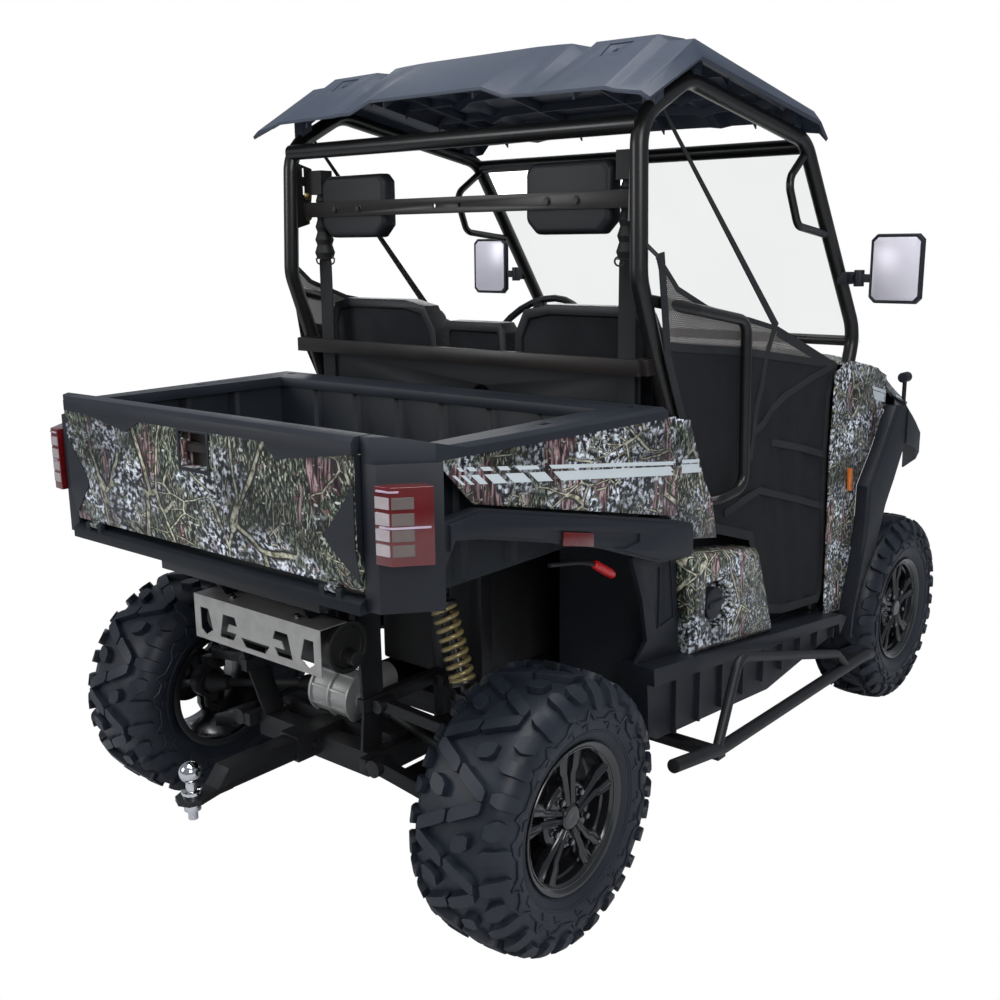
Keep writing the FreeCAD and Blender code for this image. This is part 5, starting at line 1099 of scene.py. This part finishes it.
def swell(pads):
    """Fills the covers with foam: each bulges freely until its cap, but never backwards or down."""
    for pad in pads:
        cover = pad.modifiers.new("cover", "CLOTH")
        cover.settings.quality = 5
        cover.settings.mass = 0.3
        cover.settings.use_pressure = True
        cover.settings.uniform_pressure_force = 4.0
        cover.settings.effector_weights.gravity = 0.0
        cover.point_cache.frame_start = 1
        cover.point_cache.frame_end = foam_frames
    for step in range(1, foam_frames + 1):
        bpy.context.scene.frame_set(step)
    graph = bpy.context.evaluated_depsgraph_get()
    for pad in pads:
        filled = [v.co.copy() for v in pad.evaluated_get(graph).data.vertices]
        for v, target in zip(pad.data.vertices, filled):
            move = target - v.co
            if move.length > pad_swell:
                move *= pad_swell / move.length
            v.co += Vector((max(move.x, -pad_slack / 2), move.y, max(move.z, -pad_slack / 2)))
        pad.modifiers.clear()
    bpy.context.scene.frame_set(1)


seat_pads = foam_pads("seat_cushions")
swell(seat_pads)
for pad in seat_pads:
    shade(pad, 60)
    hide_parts("seat_cushions")

# The steering: a padded wheel on its column, and the rack's track rods.
dress("steering_wheel", vinyl, 0.003)
dress("tie_rods", powder_coat)

# The roll cage and what it carries: bent round tube, powder coated in a
# deeper gloss than the frame, with the seat bars, headrests and mirrors.
# The mirrors' glass is a pale, half matt colour: a painted reflection of
# bright surroundings.
cage_coat = finish("cage_coat", (0.009, 0.009, 0.009), (0.014, 0.013, 0.012), 0.3, grain=300,
                   relief=0.00006, specular=0.45)
bar_coat = finish("bar_coat", (0.014, 0.012, 0.011), (0.021, 0.018, 0.016), 0.36, grain=300)
# painted reflection: the mirror glass is pale and half matt, standing in for the bright surroundings that it
# reflects
mirror_painted_reflection = finish("mirror_painted_reflection", (0.78, 0.76, 0.84), (0.74, 0.72, 0.8), 0.34, spread=0.02,
                      metallic=0.3, relief=0.00001)
for part in ("roll_cage", "side_hoops", "front_bumper"):
    dress(part, cage_coat)
dress("seat_bars", bar_coat, 0.001)
dress("headrests", cab_plastic, 0.012, 4)
dress("mirror_housings", trim_plastic, 0.008, 4)
dress("mirror_glasses", mirror_painted_reflection, 0.001)

# The belts and door nets: black polyester. Each belt hangs from the
# bellows of its reel. Each net is an open mesh above a dense cloth, edged
# and crossed by sewn straps, and a long strap holds it up.


def weave_group():
    """Threads that cross on the slant in the plane of the doors: their height and their cover."""
    tree, given, result = open_group("door_weave", "ShaderNodeTree",
                                     (("Pitch", "Float"), ("Thread Share", "Float")),
                                     (("Height", "Float"), ("Cover", "Float")))
    place = tree.nodes.new("ShaderNodeTexCoord").outputs["Object"]
    split = add_node(tree, "ShaderNodeSeparateXYZ", {0: place}).outputs
    threads = []
    for operation in ("ADD", "SUBTRACT"):
        slant = combine(tree, operation, split["X"], split["Z"])
        threads.append(combine(tree, "PINGPONG", combine(tree, "DIVIDE", slant, given["Pitch"]), 0.5))
    top = combine(tree, "MAXIMUM", *threads)
    edge = combine(tree, "SUBTRACT", 0.5, given["Thread Share"])
    feed(tree, result, {"Height": top, "Cover": combine(tree, "GREATER_THAN", top, edge)})
    return tree


door_weave = weave_group()
thread_relief = 0.0006


def woven(name, colour, tint, pitch, share=None):
    """Cloth with a slanting weave; with a share of thread given, it is open between the threads."""
    made = finish(name, colour, tint, 0.72, patch=14, relief=0.0002, specular=0.25)
    tree = made.node_tree
    threads = add_node(tree, "ShaderNodeGroup", {"Pitch": pitch, "Thread Share": share or 0.5},
                       node_tree=door_weave).outputs
    bump = add_node(tree, "ShaderNodeBump", {"Distance": thread_relief, "Height": threads["Height"]})
    feed_shader(made, {"Normal": bump.outputs["Normal"]})
    if share:
        feed_shader(made, {"Alpha": threads["Cover"]})
    return made


net_mesh = woven("net_mesh", (0.105, 0.098, 0.092), (0.16, 0.15, 0.14), 0.009, 0.36)
net_fabric = woven("net_fabric", (0.01, 0.01, 0.012), (0.018, 0.018, 0.021), 0.0022)
strap_black = woven("strap_black", (0.02, 0.021, 0.023), (0.032, 0.033, 0.036), 0.0026)
net_y = 0.6387
net_low = 0.446
net_step = 0.008
net_fold = 0.006
net_flat = (1.015, 1.065)
fold_pitch = 0.15
fold_start = 0.25
cut_allowance = 1.004
net_edge = ((0.412, 1.505), (0.504, 1.429), (0.642, 1.379), (0.869, 1.337), (1.023, 1.306), (1.421, 1.172),
            (1.376, 1.072), (1.376, 0.9), (1.381, 0.77), (1.404, 0.623), (1.397, 0.48), (1.368, 0.446),
            (1.124, 0.474), (1.022, 0.5), (0.914, 0.706), (0.902, 0.738), (0.7, 0.8), (0.56, 1.04),
            (0.52, 1.12), (0.452, 1.262))
net_straps = (((0.466, 1.294), (0.524, 1.286), (0.832, 1.254), (1.316, 1.183)),
              ((1.382, 1.168), (1.238, 1.145), (1.093, 1.116), (1.003, 1.083), (0.961, 1.05),
               (0.905, 1.032), (0.892, 0.96)),
              ((1.006, 1.306), (0.989, 1.285), (0.959, 1.23), (0.939, 1.149), (0.913, 1.094),
               (0.905, 1.04)),
              ((1.012, 0.993), (1.189, 0.953), (1.372, 0.904)),
              ((0.76, 0.84), (0.95, 0.869), (1.205, 0.797), (1.378, 0.745)))
net_tip = ((0.4, 0.615, 1.525), (0.412, 0.638, 1.5), (0.426, 0.638, 1.47))
hanger_top = (0.492, 0.5905, 1.83)
hanger_foot = (1.023, 0.634, 1.305)
strap_width = 0.02
hanger_half = 0.6 * strap_width
border_width = 0.026
hem_width = 0.013
tip_half = 0.006
strap_inset = 0.0005
border_thick = 0.0026
hem_thick = 0.003
hanger_thick = 0.0032
tip_thick = 0.0034
strap_thick = 0.0038
strap_layer = 0.0005
hanger_steps = 24
mitre_limit = 0.6


def seam_height(x):
    """Where the dense cloth begins, under the open panel."""
    return 1.286 - 0.13 * (x - 0.524)


def inside(x, z):
    """Whether a place is inside the net's edge."""
    within = False
    for (x0, z0), (x1, z1) in zip(net_edge, net_edge[1:] + net_edge[:1]):
        if (z0 > z) != (z1 > z) and x < x0 + (x1 - x0) * (z - z0) / (z1 - z0):
            within = not within
    return within


def net_place(x, z, side):
    """A place on the net, in shallow upright folds below its seam."""
    drop = min(max((seam_height(x) - z) / fold_start, 0.0), 1.0)
    phase = 2 * pi * (x + 0.12 * z) / fold_pitch + 1.7 * sin(9 * x + 4 * z)
    return at(x, side * (net_y - net_fold * drop * (0.5 + 0.5 * sin(phase))), z)


def net_panel(name, side):
    """A whole net: the open panel above its seam and the dense cloth below."""
    bm = bmesh.new()
    corners = {}
    xs = [net_edge[0][0] + net_step * i for i in range(int(net_flat[0] / net_step))]
    zs = [net_low + net_step * j for j in range(int(net_flat[1] / net_step))]
    for i in range(len(xs) - 1):
        for j in range(len(zs) - 1):
            if all(inside(a, b) for a in xs[i:i + 2] for b in zs[j:j + 2]):
                keys = ((i, j), (i + 1, j), (i + 1, j + 1), (i, j + 1))
                for a, b in keys:
                    if (a, b) not in corners:
                        corners[a, b] = bm.verts.new(net_place(xs[a], zs[b], side))
                face = bm.faces.new([corners[key] for key in keys])
                middle_x, middle_z = (xs[i] + xs[i + 1]) / 2, (zs[j] + zs[j + 1]) / 2
                face.material_index = int(middle_z > seam_height(middle_x))
    cut_area = sum(face.calc_area() for face in bm.faces) * cut_allowance
    panel = new_piece(name, bm, net_fabric, "chassis")
    panel.data.materials.append(net_mesh)
    return shade(panel, 60), round(cut_area, 4)


def ribbon(bm, points, near, far, thick, gather=1.0):
    """A flat strap between two distances to the right of its path, drawn together at its first point."""
    last = len(points) - 1
    rows = []
    for i, here in enumerate(points):
        turn_in, turn_out = here - points[max(i - 1, 0)], points[min(i + 1, last)] - here
        directions = [Vector((d.x, 0, d.z)).normalized() for d in (turn_in, turn_out) if d.length > 1e-6]
        normals = [Vector((d.z, 0, -d.x)) for d in directions]
        middle = sum(normals, Vector()).normalized()
        stretch = (gather + (1 - gather) * i / last) / max(mitre_limit, middle.dot(normals[0]))
        section = ((near, -thick / 2), (far, -thick / 2), (far, thick / 2), (near, thick / 2))
        rows.append([here + middle * (w * stretch) + Vector((0, t, 0)) for w, t in section])
    skin_rows(bm, rows)


def sew_net(side, word):
    bm = bmesh.new()
    edge = [at(x, side * net_y, z) for x, z in net_edge]
    ribbon(bm, edge[:5], 0.0, hem_width, hem_thick)
    ribbon(bm, edge[4:] + edge[:1], 0.0, border_width, border_thick)
    for index, strap in enumerate(net_straps):
        points = [at(x, side * (net_y - strap_inset), z) for x, z in strap]
        ribbon(bm, points, -strap_width / 2, strap_width / 2, strap_thick + strap_layer * index)
    top, bottom = [at(x, side * y, z) for x, y, z in (hanger_top, hanger_foot)]
    hanger = [top.lerp(bottom, k / hanger_steps) for k in range(hanger_steps + 1)]
    ribbon(bm, hanger, -hanger_half, hanger_half, hanger_thick, gather=0.35)
    ribbon(bm, [at(x, side * y, z) for x, y, z in net_tip], -tip_half, tip_half, tip_thick)
    face_out(bm)
    straps = new_piece("net_straps_" + word, bm, strap_black, "chassis")
    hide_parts("side_nets")
    panel, cut_area = net_panel("door_net_" + word, side)
    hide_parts("side_nets")


belt_x = 0.462
belt_y = 0.526
belt_top = 1.484
belt_foot = 1.112
web_half = 0.0246
web_half_thick = 0.0019
web_steps = 39
loop_height = 1.487
loop_shift = 0.024
ring_radius = 0.011
loop_wire = 0.0024
loop_steps = 16
loop_across = Vector((0, 1.3, 0))


def hang_belt(side, word):
    """The webbing below the bellows, and the two wire loops that guide it."""
    bm = bmesh.new()
    section = ((-web_half_thick, -web_half), (-web_half_thick, web_half), (web_half_thick, web_half),
               (web_half_thick, -web_half))
    heights = [belt_top - (belt_top - belt_foot) * i / web_steps for i in range(web_steps + 1)]
    skin_rows(bm, [[at(belt_x + dx, side * belt_y + dy, z) for dx, dy in section] for z in heights])
    face_out(bm)
    new_piece("belt_web_" + word, bm, strap_black, "chassis")
    bm = bmesh.new()
    for shift in (-loop_shift, loop_shift):
        centre = at(belt_x, side * belt_y + shift, loop_height)
        loop = [round_about(centre, ring_radius, k / loop_steps, Vector((0, 0, 1)), loop_across)
                for k in range(loop_steps)]
        bar_along(bm, loop, loop_wire, 8, closed=True)
    shade(new_piece("belt_loops_" + word, bm, cage_coat, "chassis"), 60)


dress("seat_belts", boot_rubber)
for side, word in both_sides:
    sew_net(side, word)
    hang_belt(side, word)

# Small fasteners: black screws through the headrest bar, zinc plated ones
# through the post plates, and two bright ones in the folded top of the
# heat shield.
zinc_yellow = finish("zinc_yellow", (0.62, 0.52, 0.26), (0.5, 0.42, 0.22), 0.3, metallic=1.0)
screw_radius = 0.0085
upward = Vector((-0.25, 0, 1)).normalized()
bar_places = [(at(0.4195, y, 1.628), -forward) for y in (0.429, 0.336, -0.319, -0.406)]
plate_places = [(at(0.44, side * 0.5655, z), Vector((0, -side, 0)))
                for side in (1, -1) for z in (1.668, 1.61)]
shield_places = [(at(-0.305, y, 0.7452), upward) for y in (0.033, -0.191)]
set_bolts("bar_screws", bar_places, screw_radius, 0.006, powder_coat, "chassis")
set_bolts("plate_screws", plate_places, screw_radius, 0.007, zinc_yellow, "chassis")
set_bolts("shield_screws", shield_places, 0.007, 0.006, chrome, "chassis")

# The bed's release lever: a steel rod under the right wheel arch with a
# red dipped grip.
lever_red = finish("lever_red", (0.5, 0.006, 0.008), (0.42, 0.005, 0.007), 0.3, grain=200,
                   relief=0.0001, specular=0.5, coat=0.3)
lever_path = [at(0.06, -0.6, 0.85), at(0.15, -0.612, 0.838), at(0.2, -0.62, 0.825), at(0.276, -0.62, 0.782)]
rod_radius = 0.005
grip_stations = ((-0.02, 0.0062), (0.0, 0.0085), (0.06, 0.0105), (0.25, 0.0112), (0.7, 0.0118),
                 (0.9, 0.0112), (0.99, 0.0085), (1.04, 0.004))


def fit_lever():
    bm = bmesh.new()
    bar_along(bm, lever_path, rod_radius, 12)
    shade(new_piece("lever_rod", bm, powder_coat, "bed"), 40)
    bm = bmesh.new()
    start, end = lever_path[2:]
    bar_along(bm, [start.lerp(end, share) for share, _ in grip_stations],
              [radius for _, radius in grip_stations], 20)
    face_out(bm)
    shade(new_piece("lever_grip", bm, lever_red, "bed"), 50)


fit_lever()

# The windscreen: one clear polycarbonate pane, slightly grey and so thin
# that it hardly bends the view.


def clear_sheet():
    made = finish("clear_pane", (0.86, 0.88, 0.87), (0.83, 0.85, 0.84), 0.03, spread=0.02, patch=3,
                  relief=0.00001, specular=0.4)
    feed_shader(made, {"Transmission Weight": 1.0, "IOR": 1.05})
    return made


dress("windscreen", clear_sheet())

# The roof: one vacuum formed shell in bluish charcoal, with raised blocks
# and a ribbed underside.
roof_plastic = finish("roof_plastic", (0.036, 0.046, 0.068), (0.05, 0.062, 0.09), 0.42, patch=5,
                      grain=520, relief=0.0002)
dress("roof", roof_plastic, 0.003, 2, 12)
